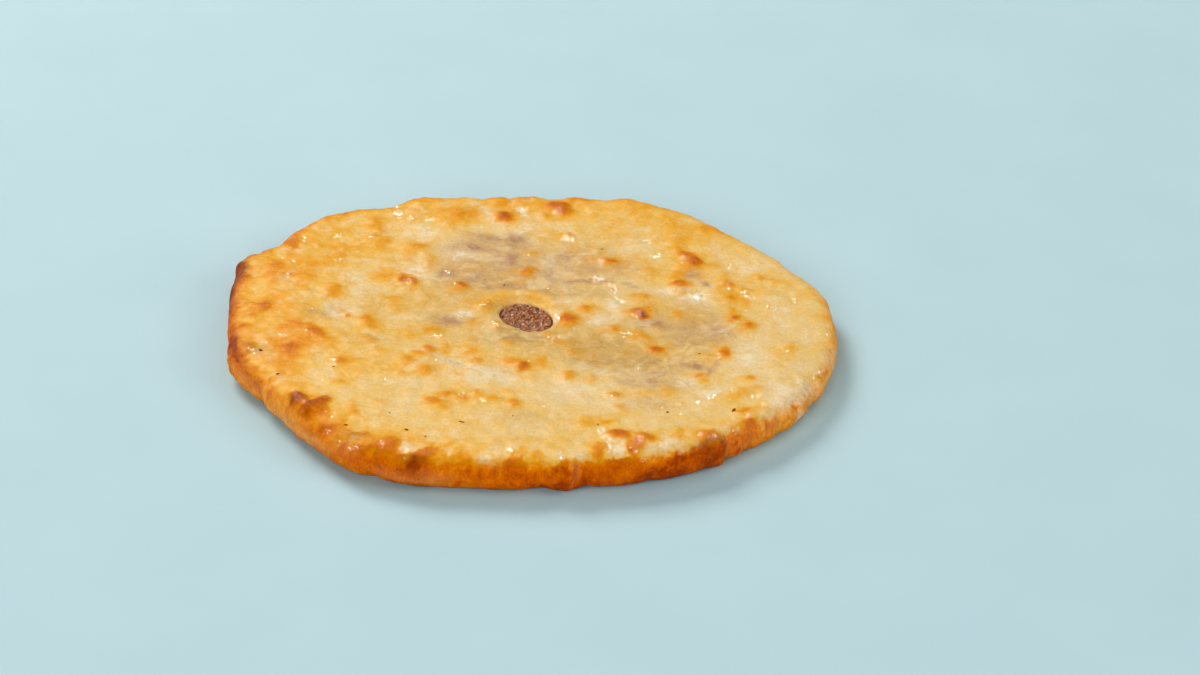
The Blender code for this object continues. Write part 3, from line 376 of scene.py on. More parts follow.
# Wet ridges of the rim, laid out in the same way
SIDE_WET = (
    (218.5, 0.15, 3, 0.12, 0.75), (230.5, 0.2, 2.6, 0.1, 1), (237, 0.16, 3, 0.14, 0.5),
    (242.2, 0.12, 1.2, 0.16, 0.75), (251.5, 0.14, 1.4, 0.1, 0.8), (262, 0.14, 1.4, 0.14, 1),
    (275, 0.23, 1, 0.08, 0.8), (277.8, 0.08, 1, 0.24, 1), (278.5, 0.3, 1.2, 0.08, 0.8),
    (283.4, 0.29, 1, 0.08, 0.8), (289, -0.1, 2, 0.16, 0.6), (292.8, 0.1, 1.4, 0.2, 0.9),
    (295, -0.04, 1.6, 0.2, 0.55), (302.5, 0.28, 4, 0.14, 0.9), (306.5, 0.25, 3, 0.12, 0.9),
    (310, 0.2, 4, 0.14, 0.75), (318.5, 0.08, 1.6, 0.12, 0.75), (320.6, 0.08, 1.4, 0.14, 1),
    (326, 0.03, 1.8, 0.12, 1), (328.5, -0.2, 1.8, 0.08, 1), (338.4, 0.13, 2.4, 0.1, 1),
    (343.8, 0.23, 1.6, 0.14, 0.9), (350.5, 0.21, 5, 0.08, 0.8), (360, 0.17, 5, 0.08, 1),
    (4, 0.2, 4, 0.08, 0.8), (214.9, 0.05, 2, 0.1, 0.8), (222.4, -0.22, 1.6, 0.12, 0.8),
    (234.2, 0.28, 1.6, 0.1, 0.9), (247, 0.09, 2, 0.14, 0.9), (255.4, 0.07, 1.6, 0.14, 0.8),
    (265.1, 0.23, 1.6, 0.12, 0.8), (267.2, -0.02, 1.6, 0.14, 0.8), (270, 0.26, 1.4, 0.1, 0.7),
    (282.5, 0.13, 1.6, 0.16, 1), (288.4, 0.08, 3, 0.2, 0.75), (294.1, 0.33, 1.6, 0.1, 0.9),
    (299.2, 0.12, 2, 0.12, 0.8), (307.9, 0.04, 2, 0.12, 0.8), (322.1, 0.34, 1.6, 0.12, 0.8),
    (344.5, 0.28, 2, 0.1, 0.8), (188.6, 0.32, 2, 0.1, 0.6), (197, 0.01, 3, 0.12, 0.7),
    (201.4, 0.33, 2, 0.1, 0.7),
)

# Scorched rim, laid out in the same way: over the corner at the left, and the stretch before it
SIDE_SCORCHES = (
    (163, 0.3, 10, 0.36, 0.85), (171, 0.4, 20, 0.34, 0.8), (190.5, 0.32, 9, 0.26, 0.5),
    (198, 0.24, 8, 0.18, 0.3),
)

# How finely the dough is turned: spokes, sectors, steps between its rings, and the reaches beyond
# which its top keeps every spoke or every second one
SPOKES = 720
SECTORS = 6
TOP_STEP = 0.86
UNDER_STEP = 3.2
RIM_STEPS = 30
FULL_BEYOND = 60.0
HALF_BEYOND = 30.0

# How finely the mash is turned: it is fine within MASH_REACH, and sparse in its very middle
MASH_SPOKES = 180
MASH_STEP = 0.25
MASH_MIDDLE = 2.0
MASH_REACH = 13.0
MASH_SURROUND = 18.0

# How near counts as touching, and as one and the same point
TOUCH = 0.01
WELD = 0.005

# Noise that shapes and mottles the pieces: where each seed takes it from, then the size of its
# lumps, seed and octaves of each kind
NOISE_SHIFT = np.array((7.31, 3.17, 5.73))
WANDER_X = (5.0, 1, 3)
WANDER_Y = (5.0, 2, 3)
BROAD = (14.0, 3, 2)
RIPPLE = (5.0, 4, 2)
GRAIN = (1.9, 5, 2)
WRINKLE = (2.6, 6, 2)
MASH_LUMPS = (2.6, 21, 2)
MASH_CRUMBS = (1.1, 22, 2)

# How far noise moves the borders of patches on the top, its share for browning and for relief,
# and how far it moves the bearings of patches on the side
WANDER = 1.3
BROWN_WANDER = 0.8
RISE_WANDER = 0.5
SWERVE = 0.012

# Relief of the top: ripples, more of them near the rim, and grain, more where browned or wet
TOP_RIPPLE = 0.30
RIM_RIPPLE = 0.15
NEAR_RIM = 0.5
TOP_GRAIN = 0.10
BROWNED_GRAIN = 0.08
WET_GRAIN = 0.14

# Relief of the side: wrinkles, how far it is drawn in to make room for them, the height that they
# are laid out on, and the stretch of top that counts as one such height
SIDE_WRINKLE = 0.35
SIDE_INSET = 0.45
SIDE_HEIGHT = 9.0
INWARD_SCALE = 30.0
UNDER_RELIEF = 0.15

# Where the rim's pleats start, in parts of its reach, and how blisters rise and widen
PLEAT_START = 0.90
PLEAT_SPREAD = 0.08
BLISTER_RISE = 1.5
BLISTER_SKIRT = 1.5

# The faint browning round a spot: how strong it is, and how much wider than the spot
HALO = 0.42
HALO_SKIRT = 5.0

# How browned plain dough is, how much darker the tone is in the rim's creases, and how softly the
# side's browning starts
PLAIN_BROWNING = 0.20
CREASE_DARKENING = 0.20
BROWNING_LEAD = 0.18
BROWNING_SPREAD = 0.42

# The gloss of higher blisters: from which rise, how strong, and its place and size on the blister
GLOSSY_RISE = 0.5
BLISTER_GLOSS = 0.20
GLOSS_LEFT = 0.35
GLOSS_FRONT = 0.1
GLOSS_SHARE = 0.7
GLOSS_SKIRT = 1.0

# How much of the shadows the golden skin hides
ARC_COVER = 0.9

# How abruptly patches end, from 1, softest
BROWN_EDGE = 1.35
RISE_EDGE = 1.2
SHADOW_EDGE = 1.1
SCORCH_EDGE = 1.6
WET_EDGE = 1.5
ARC_EDGE = 1.5
BLOTCH_EDGE = 1.9
FOLD_EDGE = 1.4

# The mash at the vent: how far it bulges, more so at the back, and how lumpy it is
MASH_BULGE = 0.65
MASH_BULGE_EDGE = 0.2
MASH_BULGE_SPREAD = 0.8
MASH_BACK = 0.65
MASH_BACK_START = -2.0
MASH_BACK_SPREAD = 10.0
MASH_LUMP = 0.60
MASH_CRUMB = 0.75

# The char flecks: how high they stand, and how ragged they are
FLECK_HEIGHT = 0.14
FLECK_RAGGEDNESS = 0.35

# The floor: how far it reaches in metres, and how far under the bread it lies
FLOOR_REACH = 6.0
FLOOR_DROP = 0.0002

# The photograph's viewpoint
LENS = 107.07
SENSOR = 36.0
VIEW_ELEVATION = math.radians(29.8)
VIEW_ROLL = math.radians(1.9)
VIEW_DISTANCE = 1406.5
VIEW_TARGET = Vector((27.1, 11.0, 0.0))

# Colours as seen on screen, from 0 to 255, some with the tone at which they lie
CRUST_COLOURS = (
    (0.00, (236, 204, 146)),
    (0.18, (238, 197, 118)),
    (0.34, (240, 184, 78)),
    (0.50, (238, 165, 32)),
    (0.64, (232, 145, 6)),
    (0.78, (220, 120, 0)),
    (0.90, (204, 100, 2)),
    (1.00, (164, 68, 2)),
)
SCORCH_COLOURS = ((0.35, (92, 34, 4)), (0.65, (140, 60, 14)))
MASH_COLOURS = (
    (0.34, (40, 13, 2)),
    (0.46, (124, 58, 18)),
    (0.56, (178, 98, 42)),
    (0.68, (230, 162, 96)),
)
CHAR_COLOURS = ((0.3, (112, 44, 4)), (0.7, (166, 88, 20)))
FLOOR_COLOURS = ((0.3, (177, 211, 221)), (0.7, (181, 214, 224)))
OILY = (190, 147, 84)
MAUVE = (178, 132, 100)
FILM_AND_SHEEN = (243, 223, 186)
STREAK = (240, 212, 160)
FRECKLE = (160, 68, 0)
FLOUR = (240, 182, 120)
MASH_LIGHT = (132, 70, 28)
BEAN_SKIN = (84, 26, 6)

# Painted warm bounce light on the lower dough and on the whole side, and painted shade along the side's
# pleats, as factors
LOW_PAINTED_BOUNCE = (1.06, 0.96, 1.0, 1.0)
SIDE_PAINTED_BOUNCE = (1.12, 0.96, 1.0, 1.0)
PLEAT_SHADE = (0.80, 0.66, 0.50, 1.0)

# Soft lights: name, turn and height in degrees, distance, width and height in metres, power,
# colour, and whether only the wet crust mirrors it, or else it only lights the bread
LIGHTS = (
    ("key", 128.0, 36.0, 3.0, 1.2, 1.2, 63.0, (1.0, 0.97, 0.93), False),
    ("glint", 116.0, 40.0, 3.0, 0.9, 0.9, 180.0, (1.0, 0.95, 0.85), True),
    ("gleam", 45.0, 48.0, 3.0, 0.7, 0.7, 80.0, (1.0, 0.95, 0.85), True),
    ("overhead", 20.0, 75.0, 2.5, 2.0, 2.0, 6.0, (0.97, 0.99, 1.0), False),
    ("right", -14.0, 28.0, 3.0, 1.6, 1.4, 32.0, (1.0, 0.96, 0.88), False),
    ("front", -112.0, 27.0, 3.0, 2.2, 1.4, 50.0, (1.0, 0.98, 0.95), False),
)
SKY_COLOUR = (0.86, 0.94, 1.0, 1.0)
SKY_STRENGTH = 0.12


def smooth(t):
    """0 below 0, 1 above 1, and a soft step between."""
    t = np.clip(t, 0.0, 1.0)
    return t * t * (3.0 - 2.0 * t)


def round_curve(values, angle):
    """A smooth closed curve through values spaced evenly round the turn."""
    values = np.array(values)
    count = len(values)
    place = np.mod(angle, 2.0 * math.pi) / (2.0 * math.pi) * count
    first = np.floor(place).astype(int)
    t = place - first
    a, b, c, d = (values[(first + step) % count] for step in (-1, 0, 1, 2))
    return 0.5 * (2.0 * b + (c - a) * t + (2.0 * a - 5.0 * b + 4.0 * c - d) * t**2
                  + (3.0 * b - a - 3.0 * c + d) * t**3)


def turn_between(a, b):
    """The smaller turn between two angles in radians, with its sign."""
    return np.mod(a - b + math.pi, 2.0 * math.pi) - math.pi


def bumps_round(bumps, angle):
    """The sum of soft bumps set round the rim."""
    total = np.zeros_like(angle)
    for degrees, half_width, size in bumps:
        away = turn_between(angle, math.radians(degrees)) / math.radians(half_width)
        total += size * np.exp(-away * away)
    return total


def patch(x, y, centre_x, centre_y, length, width, degrees, edge):
    """1 in the middle of an oval patch, falling softly to 0 past its edge."""
    turn = math.radians(degrees)
    dx = x - centre_x
    dy = y - centre_y
    along = (dx * math.cos(turn) + dy * math.sin(turn)) / (0.5 * length)
    across = (dy * math.cos(turn) - dx * math.sin(turn)) / (0.5 * width)
    return np.exp(-((along * along + across * across) ** edge))


def soft_noise(points, size, seed, octaves):
    """Smooth noise of about -1 to 1 at points, with lumps of the given size."""
    scaled = points / size + seed * NOISE_SHIFT
    return np.array([noise.fractal(place, 1.0, 2.0, octaves) for place in scaled.tolist()])


def vent_stretch(reach, angle):
    """How far the oval of the vent draws the dough round it outward or inward."""
    turn = 2.0 * (angle - math.radians(VENT_TURN))
    return 1.0 + VENT_STRETCH * np.cos(turn) * np.exp(-(reach / VENT_STRETCH_REACH) ** 2)


def warp(points):
    """Where points of the even bread lie in the real one."""
    reach = np.hypot(points[:, 0], points[:, 1])
    angle = np.arctan2(points[:, 1], points[:, 0])
    outward = reach / REACH
    rim = round_curve(RIM_REACHES, angle) + bumps_round(RIM_LOBES, angle)
    pleat = bumps_round(RIM_PLEATS, angle) * smooth((outward - PLEAT_START) / PLEAT_SPREAD)
    real_reach = reach * vent_stretch(reach, angle) + (rim - REACH) * outward**2 - pleat
    middle = 1.0 - smooth(outward)
    x = VENT_CENTRE[0] * middle + real_reach * np.cos(angle)
    y = VENT_CENTRE[1] * middle + real_reach * np.sin(angle)
    height = THICKNESS + (round_curve(RIM_HEIGHTS, angle) - THICKNESS) * smooth(outward)
    for swell_x, swell_y, spread, rise in SWELLS:
        height += rise * np.exp(-((x - swell_x) ** 2 + (y - swell_y) ** 2) / spread**2)
    return np.stack((x, y, points[:, 2] * height / THICKNESS), axis=1)


def top_relief(x, y):
    """Blisters, the ridge behind the vent and the dip round it, above the broad forms."""
    rise = np.zeros_like(x)
    for spot_x, spot_y, length, width, degrees, _, height in SPOTS + SCORCHES:
        rise += BLISTER_RISE * height * patch(x, y, spot_x, spot_y, length + BLISTER_SKIRT,
                                              width + BLISTER_SKIRT, degrees, RISE_EDGE)
    from_vent = np.hypot(x - VENT_CENTRE[0], y - VENT_CENTRE[1])
    turn = np.arctan2(y - VENT_CENTRE[1], x - VENT_CENTRE[0])
    from_vent = from_vent / vent_stretch(from_vent, turn)
    away = (from_vent - RIDGE_RADIUS) / RIDGE_WIDTH
    aside = turn_between(turn, math.radians(RIDGE_TURN)) / math.radians(RIDGE_SPREAD)
    rise += RIDGE_HEIGHT * np.exp(-away * away - aside**4)
    rise -= VENT_DIP * smooth((VENT_RADIUS + VENT_DIP_SPREAD - from_vent) / VENT_DIP_SPREAD)
    return rise


def steps_between(start, end, step):
    """Evenly spaced values from start towards end, without the end itself."""
    count = max(1, round(abs(end - start) / step))
    return [start + (end - start) * n / count for n in range(count)]


def rim_section():
    """The rounded side of the even bread, from its underside to its top."""
    points = []
    for step in range(RIM_STEPS + 1):
        turn = math.pi * (step / RIM_STEPS - 0.5)
        out = max(math.cos(turn), 0.0) ** RIM_FULLNESS
        up = math.copysign(abs(math.sin(turn)) ** RIM_FULLNESS, turn)
        points.append((REACH - RIM_ROUNDING * (1.0 - out), THICKNESS / 2.0 * (1.0 + up)))
    return points


def pocket_section(gap):
    """The outer end of the pocket, from its ceiling to its floor, drawn in by a gap."""
    ceiling = THICKNESS - TOP_SKIN
    middle = (ceiling + BOTTOM_SKIN) / 2.0
    half_height = (ceiling - BOTTOM_SKIN) / 2.0 - gap
    points = []
    for degrees in (90, 60, 30, 0, -30, -60, -90):
        turn = math.radians(degrees)
        points.append((POCKET_FLAT_REACH + (POCKET_NOSE - gap) * math.cos(turn),
                       middle + half_height * math.sin(turn)))
    return points


def dough_profile():
    """Half the dough's section: underside, rim, top, lip of the vent, then the pocket."""
    top_edge = REACH - RIM_ROUNDING
    lip_edge = VENT_RADIUS + LIP_ROUNDING
    ceiling = THICKNESS - TOP_SKIN
    profile = [(reach, 0.0) for reach in steps_between(0.0, top_edge, UNDER_STEP)]
    profile += rim_section()
    profile += [(reach, THICKNESS) for reach in steps_between(top_edge, lip_edge, TOP_STEP)[1:]]
    for degrees in (90, 72, 54, 36, 18, 0):
        turn = math.radians(degrees)
        profile.append((lip_edge - LIP_ROUNDING * math.cos(turn),
                        THICKNESS - LIP_ROUNDING * (1.0 - math.sin(turn))))
    profile += [(VENT_RADIUS, ceiling), (HALF_BEYOND, ceiling), (FULL_BEYOND, ceiling)]
    profile += pocket_section(0.0)
    profile += [(FULL_BEYOND, BOTTOM_SKIN), (0.0, BOTTOM_SKIN)]
    return profile


def dough_spacing(reach, height):
    """Every how many spokes the dough keeps one, at a place of its section."""
    if height < TOUCH:
        return 4
    if height > THICKNESS - TOP_SKIN + TOUCH:
        if reach > FULL_BEYOND:
            return 1
        return 2 if reach > HALF_BEYOND else 4
    return 1 if reach > REACH - RIM_ROUNDING + TOUCH else 8


def filling_profile():
    """Half the filling's section, a gap inside the pocket's walls."""
    floor = BOTTOM_SKIN + FILLING_GAP
    top = THICKNESS - TOP_SKIN - FILLING_GAP
    profile = [(0.0, floor), (FULL_BEYOND, floor)]
    profile += reversed(pocket_section(FILLING_GAP))
    profile += [(FULL_BEYOND, top), (HALF_BEYOND, top), (MASH_SURROUND, top)]
    profile += [(reach, top) for reach in steps_between(MASH_REACH, 0.0, MASH_STEP)]
    profile.append((0.0, top))
    return profile


def filling_spacing(reach, height):
    """Every how many spokes the filling keeps one."""
    return 1 if reach > MASH_MIDDLE else 3


def turned(name, profile, spokes, spacing):
    """A mesh turned from a profile in equal sectors, with fewer spokes where spacing says so."""
    bm = bmesh.new()
    line = [bm.verts.new((reach, 0.0, height)) for reach, height in profile]
    edges = [bm.edges.new(pair) for pair in zip(line, line[1:])]
    whole = 2.0 * math.pi
    spin = {"cent": (0.0, 0.0, 0.0), "axis": (0.0, 0.0, 1.0)}
    bmesh.ops.spin(bm, geom=line + edges, angle=whole / SECTORS, steps=spokes // SECTORS, **spin)
    outline = np.array(profile)
    rings = {}
    for vert in bm.verts:
        reach = math.hypot(vert.co.x, vert.co.y)
        ring = int(np.argmin(np.hypot(outline[:, 0] - reach, outline[:, 1] - vert.co.z)))
        rings[ring, round(math.atan2(vert.co.y, vert.co.x) / whole * spokes)] = vert
    partners = {}
    for (ring, spoke), vert in rings.items():
        past = spoke % spacing(*profile[ring])
        if past and profile[ring][0] > 0.0:
            partners[vert] = rings[ring, spoke - past]
    bmesh.ops.weld_verts(bm, targetmap=partners)
    bmesh.ops.spin(bm, geom=bm.verts[:] + bm.edges[:] + bm.faces[:], use_duplicate=True,
                   angle=whole * (SECTORS - 1) / SECTORS, steps=SECTORS - 1, **spin)
    bmesh.ops.remove_doubles(bm, verts=bm.verts[:], dist=WELD)
    bmesh.ops.recalc_face_normals(bm, faces=bm.faces[:])
    put_in_order(bm.verts, lambda vert: tuple(vert.co))
    put_in_order(bm.faces, lambda face: tuple(face.calc_center_median()))
    return finished_mesh(name, bm)


def put_in_order(elements, place):
    """Sorts points or faces by place, because welding leaves them in another order on each run."""
    for number, element in enumerate(sorted(elements, key=place)):
        element.index = number
    elements.sort()


def finished_mesh(name, bm):
    mesh = bpy.data.meshes.new(name)
    bm.to_mesh(mesh)
    bm.free()
    return mesh


def mesh_points(mesh):
    flat = np.empty(len(mesh.vertices) * 3)
    mesh.vertices.foreach_get("co", flat)
    return flat.reshape(-1, 3)


def place_points(mesh, points):
    """Puts the vertices at points given in millimetres."""
    mesh.vertices.foreach_set("co", (points * MM).ravel())
    mesh.update()


def store(mesh, name, values):
    """Keeps a number for each vertex under a name that the materials read."""
    attribute = mesh.attributes.new(name, "FLOAT", "POINT")
    attribute.data.foreach_set("value", np.asarray(values, dtype=np.float32))


def linked(mesh, material):
    """A piece named as its mesh, in the scene, smooth and with its material."""
    piece = bpy.data.objects.new(mesh.name, mesh)
    bpy.context.scene.collection.objects.link(piece)
    mesh.materials.append(material)
    mesh.shade_smooth()
    return piece


def screened(tone, x, y, patches, edge, halo=0.0):
    """Lays patches over a tone wherever they are stronger, each with an optional faint halo."""
    for centre_x, centre_y, length, width, degrees, strength, *_ in patches:
        weight = patch(x, y, centre_x, centre_y, length, width, degrees, edge)
        if halo:
            wide = patch(x, y, centre_x, centre_y, length + HALO_SKIRT, width + HALO_SKIRT,
                         degrees, 1.0)
            tone = tone + halo * np.maximum(strength - tone, 0.0) * wide
        tone = tone + np.maximum(strength - tone, 0.0) * weight
    return tone


def rim_patches(tone, angle, drop, patches, edge=FOLD_EDGE):
    """Draws a tone towards the strengths of patches laid out round the rim and down its side."""
    for degrees, down, width, height, strength in patches:
        aside = np.degrees(turn_between(angle, math.radians(degrees)))
        weight = patch(aside, drop - down, 0.0, 0.0, width, height, 0.0, edge)
        tone = tone + (strength - tone) * weight
    return tone


def wet_places():
    """The wet patches, and the left flanks of the higher blisters, with how wet each is."""
    places = []
    for x, y, length, width, degrees, _, rise in SPOTS:
        if rise >= GLOSSY_RISE:
            places.append((x - GLOSS_LEFT * length, y - GLOSS_FRONT * width,
                           GLOSS_SHARE * length + GLOSS_SKIRT, GLOSS_SHARE * width + GLOSS_SKIRT,
                           degrees, BLISTER_GLOSS))
    return places + [row + (1.0,) for row in WET_PATCHES]


class Crust:
    """The dough's points in millimetres, where each lies on the bread, and noise at each."""

    def __init__(self, even):
        self.even_z = even[:, 2]
        self.points = warp(even)
        self.x = self.points[:, 0].copy()
        self.y = self.points[:, 1].copy()
        self.zeros = np.zeros_like(self.x)
        self.angle = np.arctan2(even[:, 1], even[:, 0])
        past_top = np.hypot(even[:, 0], even[:, 1]) - (REACH - RIM_ROUNDING)
        self.beyond = past_top > TOUCH
        self.side = np.clip(past_top / RIM_ROUNDING, 0.0, 1.0) * self.beyond

        # How far down the side, from 0 at its top to 1 at its bottom, and less than 0 on the top
        up = np.clip(self.even_z / THICKNESS * 2.0 - 1.0, -1.0, 1.0)
        turn = np.arcsin(np.sign(up) * np.abs(up) ** (1.0 / RIM_FULLNESS))
        self.drop = np.where(self.beyond, 0.5 - turn / math.pi, past_top / INWARD_SCALE)

        self.wander_x = WANDER * soft_noise(self.points, *WANDER_X)
        self.wander_y = WANDER * soft_noise(self.points, *WANDER_Y)
        around = np.stack((self.angle * REACH, self.drop * SIDE_HEIGHT, self.zeros), axis=1)
        self.noises = {
            "broad": soft_noise(self.points, *BROAD),
            "ripple": soft_noise(self.points, *RIPPLE),
            "grain": soft_noise(self.points, *GRAIN),
            "wrinkle": soft_noise(around, *WRINKLE),
        }
        self.swerve = self.angle + SWERVE * self.wander_x
        self.crease = rim_patches(self.zeros, self.swerve, self.drop, SIDE_CREASES)

    def wandering(self, share=1.0):
        """Where each point looks a pattern up, so that the pattern's borders wander."""
        return self.x + share * self.wander_x, self.y + share * self.wander_y

    def mixed(self, values, **shares):
        """Values with a share of each named noise added."""
        for name, share in shares.items():
            values = values + share * self.noises[name]
        return values

    def top_browning(self):
        """How browned the top is, from 0 raw to 1 dark."""
        x, y = self.wandering(BROWN_WANDER)
        tone = np.full_like(x, PLAIN_BROWNING)
        for centre_x, centre_y, length, width, degrees, amount in REGIONS:
            tone += amount * patch(x, y, centre_x, centre_y, length, width, degrees, 1.0)
        tone += self.mixed(0.0, broad=0.07, ripple=0.04)
        return screened(tone, x, y, SPOTS + ARC_SKIN, BROWN_EDGE, HALO)

    def tones(self):
        """What the material reads: how browned, scorched, wet, pale and floury each point is, and
        how much of the beans and of their oil shows through it."""
        jagged = self.mixed(self.drop, wrinkle=0.06, ripple=0.05, grain=0.05)
        brown = self.top_browning()
        target = round_curve(SIDE_BROWNING, self.angle)
        target = self.mixed(target, ripple=0.10, wrinkle=0.07, grain=0.05)
        start = round_curve(SIDE_START, self.angle)
        brown += (target - brown) * smooth((jagged - start + BROWNING_LEAD) / BROWNING_SPREAD)
        brown = rim_patches(brown, self.swerve, jagged, SIDE_BLOTCHES, BLOTCH_EDGE)
        # Darker tone in the rim's creases.
        brown += CREASE_DARKENING * self.crease

        burnt = rim_patches(self.zeros, self.angle, self.drop, SIDE_SCORCHES)
        burnt = np.clip(burnt * self.mixed(1.0, ripple=0.5), 0.0, 1.0)
        scorch = np.maximum(screened(self.zeros, *self.wandering(), SCORCHES, SCORCH_EDGE), burnt)
        wet = screened(self.zeros, self.x, self.y, wet_places(), WET_EDGE)
        # Pale patches: thin pale dough and painted sheen on the top, and on the side cream folds and
        # painted highlights along some ridges.
        pale = screened(self.zeros, *self.wandering(), PALE_FILMS_AND_SHEEN, 1.0)
        found = {
            "brown": np.clip(brown, 0.0, 1.0),
            "scorch": scorch,
            "wet": rim_patches(wet, self.angle, self.drop, SIDE_WET),
            "pale": rim_patches(pale, self.swerve, jagged, SIDE_FOLDS_AND_HIGHLIGHTS),
            "floury": rim_patches(self.zeros, self.swerve, jagged, SIDE_FLOUR),
        }
        outside = self.beyond | (self.even_z > THICKNESS - TOP_SKIN + TOUCH)
        skin = [row[:5] + (ARC_COVER,) for row in ARC_SKIN]
        arc = screened(self.zeros, self.x, self.y, skin, ARC_EDGE)
        for name, shadows in (("beans", BEAN_SHADOWS), ("oily", OILY_SHADOWS)):
            seen = screened(self.zeros, *self.wandering(), shadows, SHADOW_EDGE)
            found[name] = seen * outside * (1.0 - arc)
        return found

    def carved(self, brown, wet):
        """The points with blisters, wrinkles and grain, inside the dough's box."""
        points = self.points.copy()
        relief = top_relief(*self.wandering(RISE_WANDER))
        near_rim = smooth((self.drop + NEAR_RIM) / NEAR_RIM)
        rippled = TOP_RIPPLE + RIM_RIPPLE * near_rim
        grained = TOP_GRAIN + BROWNED_GRAIN * smooth((brown - 0.5) / 0.3) + WET_GRAIN * wet
        fine = self.mixed(0.0, broad=0.50, ripple=rippled, grain=grained)
        on_skin = smooth((self.even_z - THICKNESS + TOP_SKIN) / (0.7 * TOP_SKIN))
        points[:, 2] += (relief + fine) * on_skin

        fold = SIDE_WRINKLE + bumps_round(RIM_FOLDS, self.angle)
        out = self.mixed(0.0, broad=0.40, wrinkle=fold, ripple=0.35, grain=0.14)
        out = (out - self.crease - SIDE_INSET) * self.side
        points[:, 0] += out * np.cos(self.angle)
        points[:, 1] += out * np.sin(self.angle)
        under = (self.even_z < TOUCH) & ~self.beyond
        points[under, 2] += UNDER_RELIEF * np.clip(self.noises["ripple"][under], 0.0, 1.0)
        low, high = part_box("dough")
        return np.clip(points, np.array(low) / MM, np.array(high) / MM)


def make_dough(material):
    """The bread: even body, then broad forms, its tones, and the fine relief that they carry."""
    mesh = turned("dough_crust", dough_profile(), SPOKES, dough_spacing)
    crust = Crust(mesh_points(mesh))
    tones = crust.tones()
    place_points(mesh, crust.carved(tones["brown"], tones["wet"]))
    for name, values in tones.items():
        store(mesh, name, values)
    return linked(mesh, material)


def make_filling(material):
    """The bean mash: a lens that fills the pocket, coarse mash where it shows at the vent."""
    mesh = turned("bean_mash", filling_profile(), MASH_SPOKES, filling_spacing)
    even = mesh_points(mesh)
    real = warp(even)
    reach = np.hypot(even[:, 0], even[:, 1])
    within = smooth((VENT_RADIUS - MASH_BULGE_EDGE - reach) / MASH_BULGE_SPREAD)
    shown = (even[:, 2] > THICKNESS / 2.0) * within
    behind = smooth((even[:, 1] - MASH_BACK_START) / MASH_BACK_SPREAD)
    real[:, 2] += shown * (MASH_BULGE + MASH_BACK * behind + MASH_LUMP * soft_noise(real, *MASH_LUMPS)
                           + MASH_CRUMB * soft_noise(real, *MASH_CRUMBS))
    place_points(mesh, real)
    return linked(mesh, material)


def make_flecks(ground, material):
    """Small flat char flecks pressed into the crust."""
    bm = bmesh.new()
    vertices = [vert.co.copy() for vert in ground.data.vertices]
    surface = BVHTree.FromPolygons(vertices, [face.vertices[:] for face in ground.data.polygons])
    down = Vector((0.0, 0.0, -1.0))
    for number, (x, y, length, width, degrees) in enumerate(FLECKS):
        spot, normal, _, _ = surface.ray_cast(Vector((x * MM, y * MM, 0.1)), down)
        size = Vector((0.5 * length * MM, 0.5 * width * MM, FLECK_HEIGHT * MM, 1.0))
        lie = (Matrix.Translation(spot) @ normal.to_track_quat("Z", "X").to_matrix().to_4x4()
               @ Matrix.Rotation(math.radians(degrees), 4, "Z") @ Matrix.Diagonal(size))
        made = bmesh.ops.create_icosphere(bm, subdivisions=3, radius=1.0)
        for vert in made["verts"]:
            place = vert.co * 1.7 + Vector((number * 3.1, 0.0, 0.0))
            ragged = 1.0 + FLECK_RAGGEDNESS * noise.noise(place)
            vert.co = lie @ (vert.co * ragged)
    return linked(finished_mesh("char_flecks", bm), material)


def srgb(red, green, blue):
    """A colour as seen on screen, from 0 to 255, as the linear colour that shaders take."""
    def channel(value):
        value = value / 255.0
        return value / 12.92 if value <= 0.04045 else ((value + 0.055) / 1.055) ** 2.4
    return (channel(red), channel(green), channel(blue), 1.0)


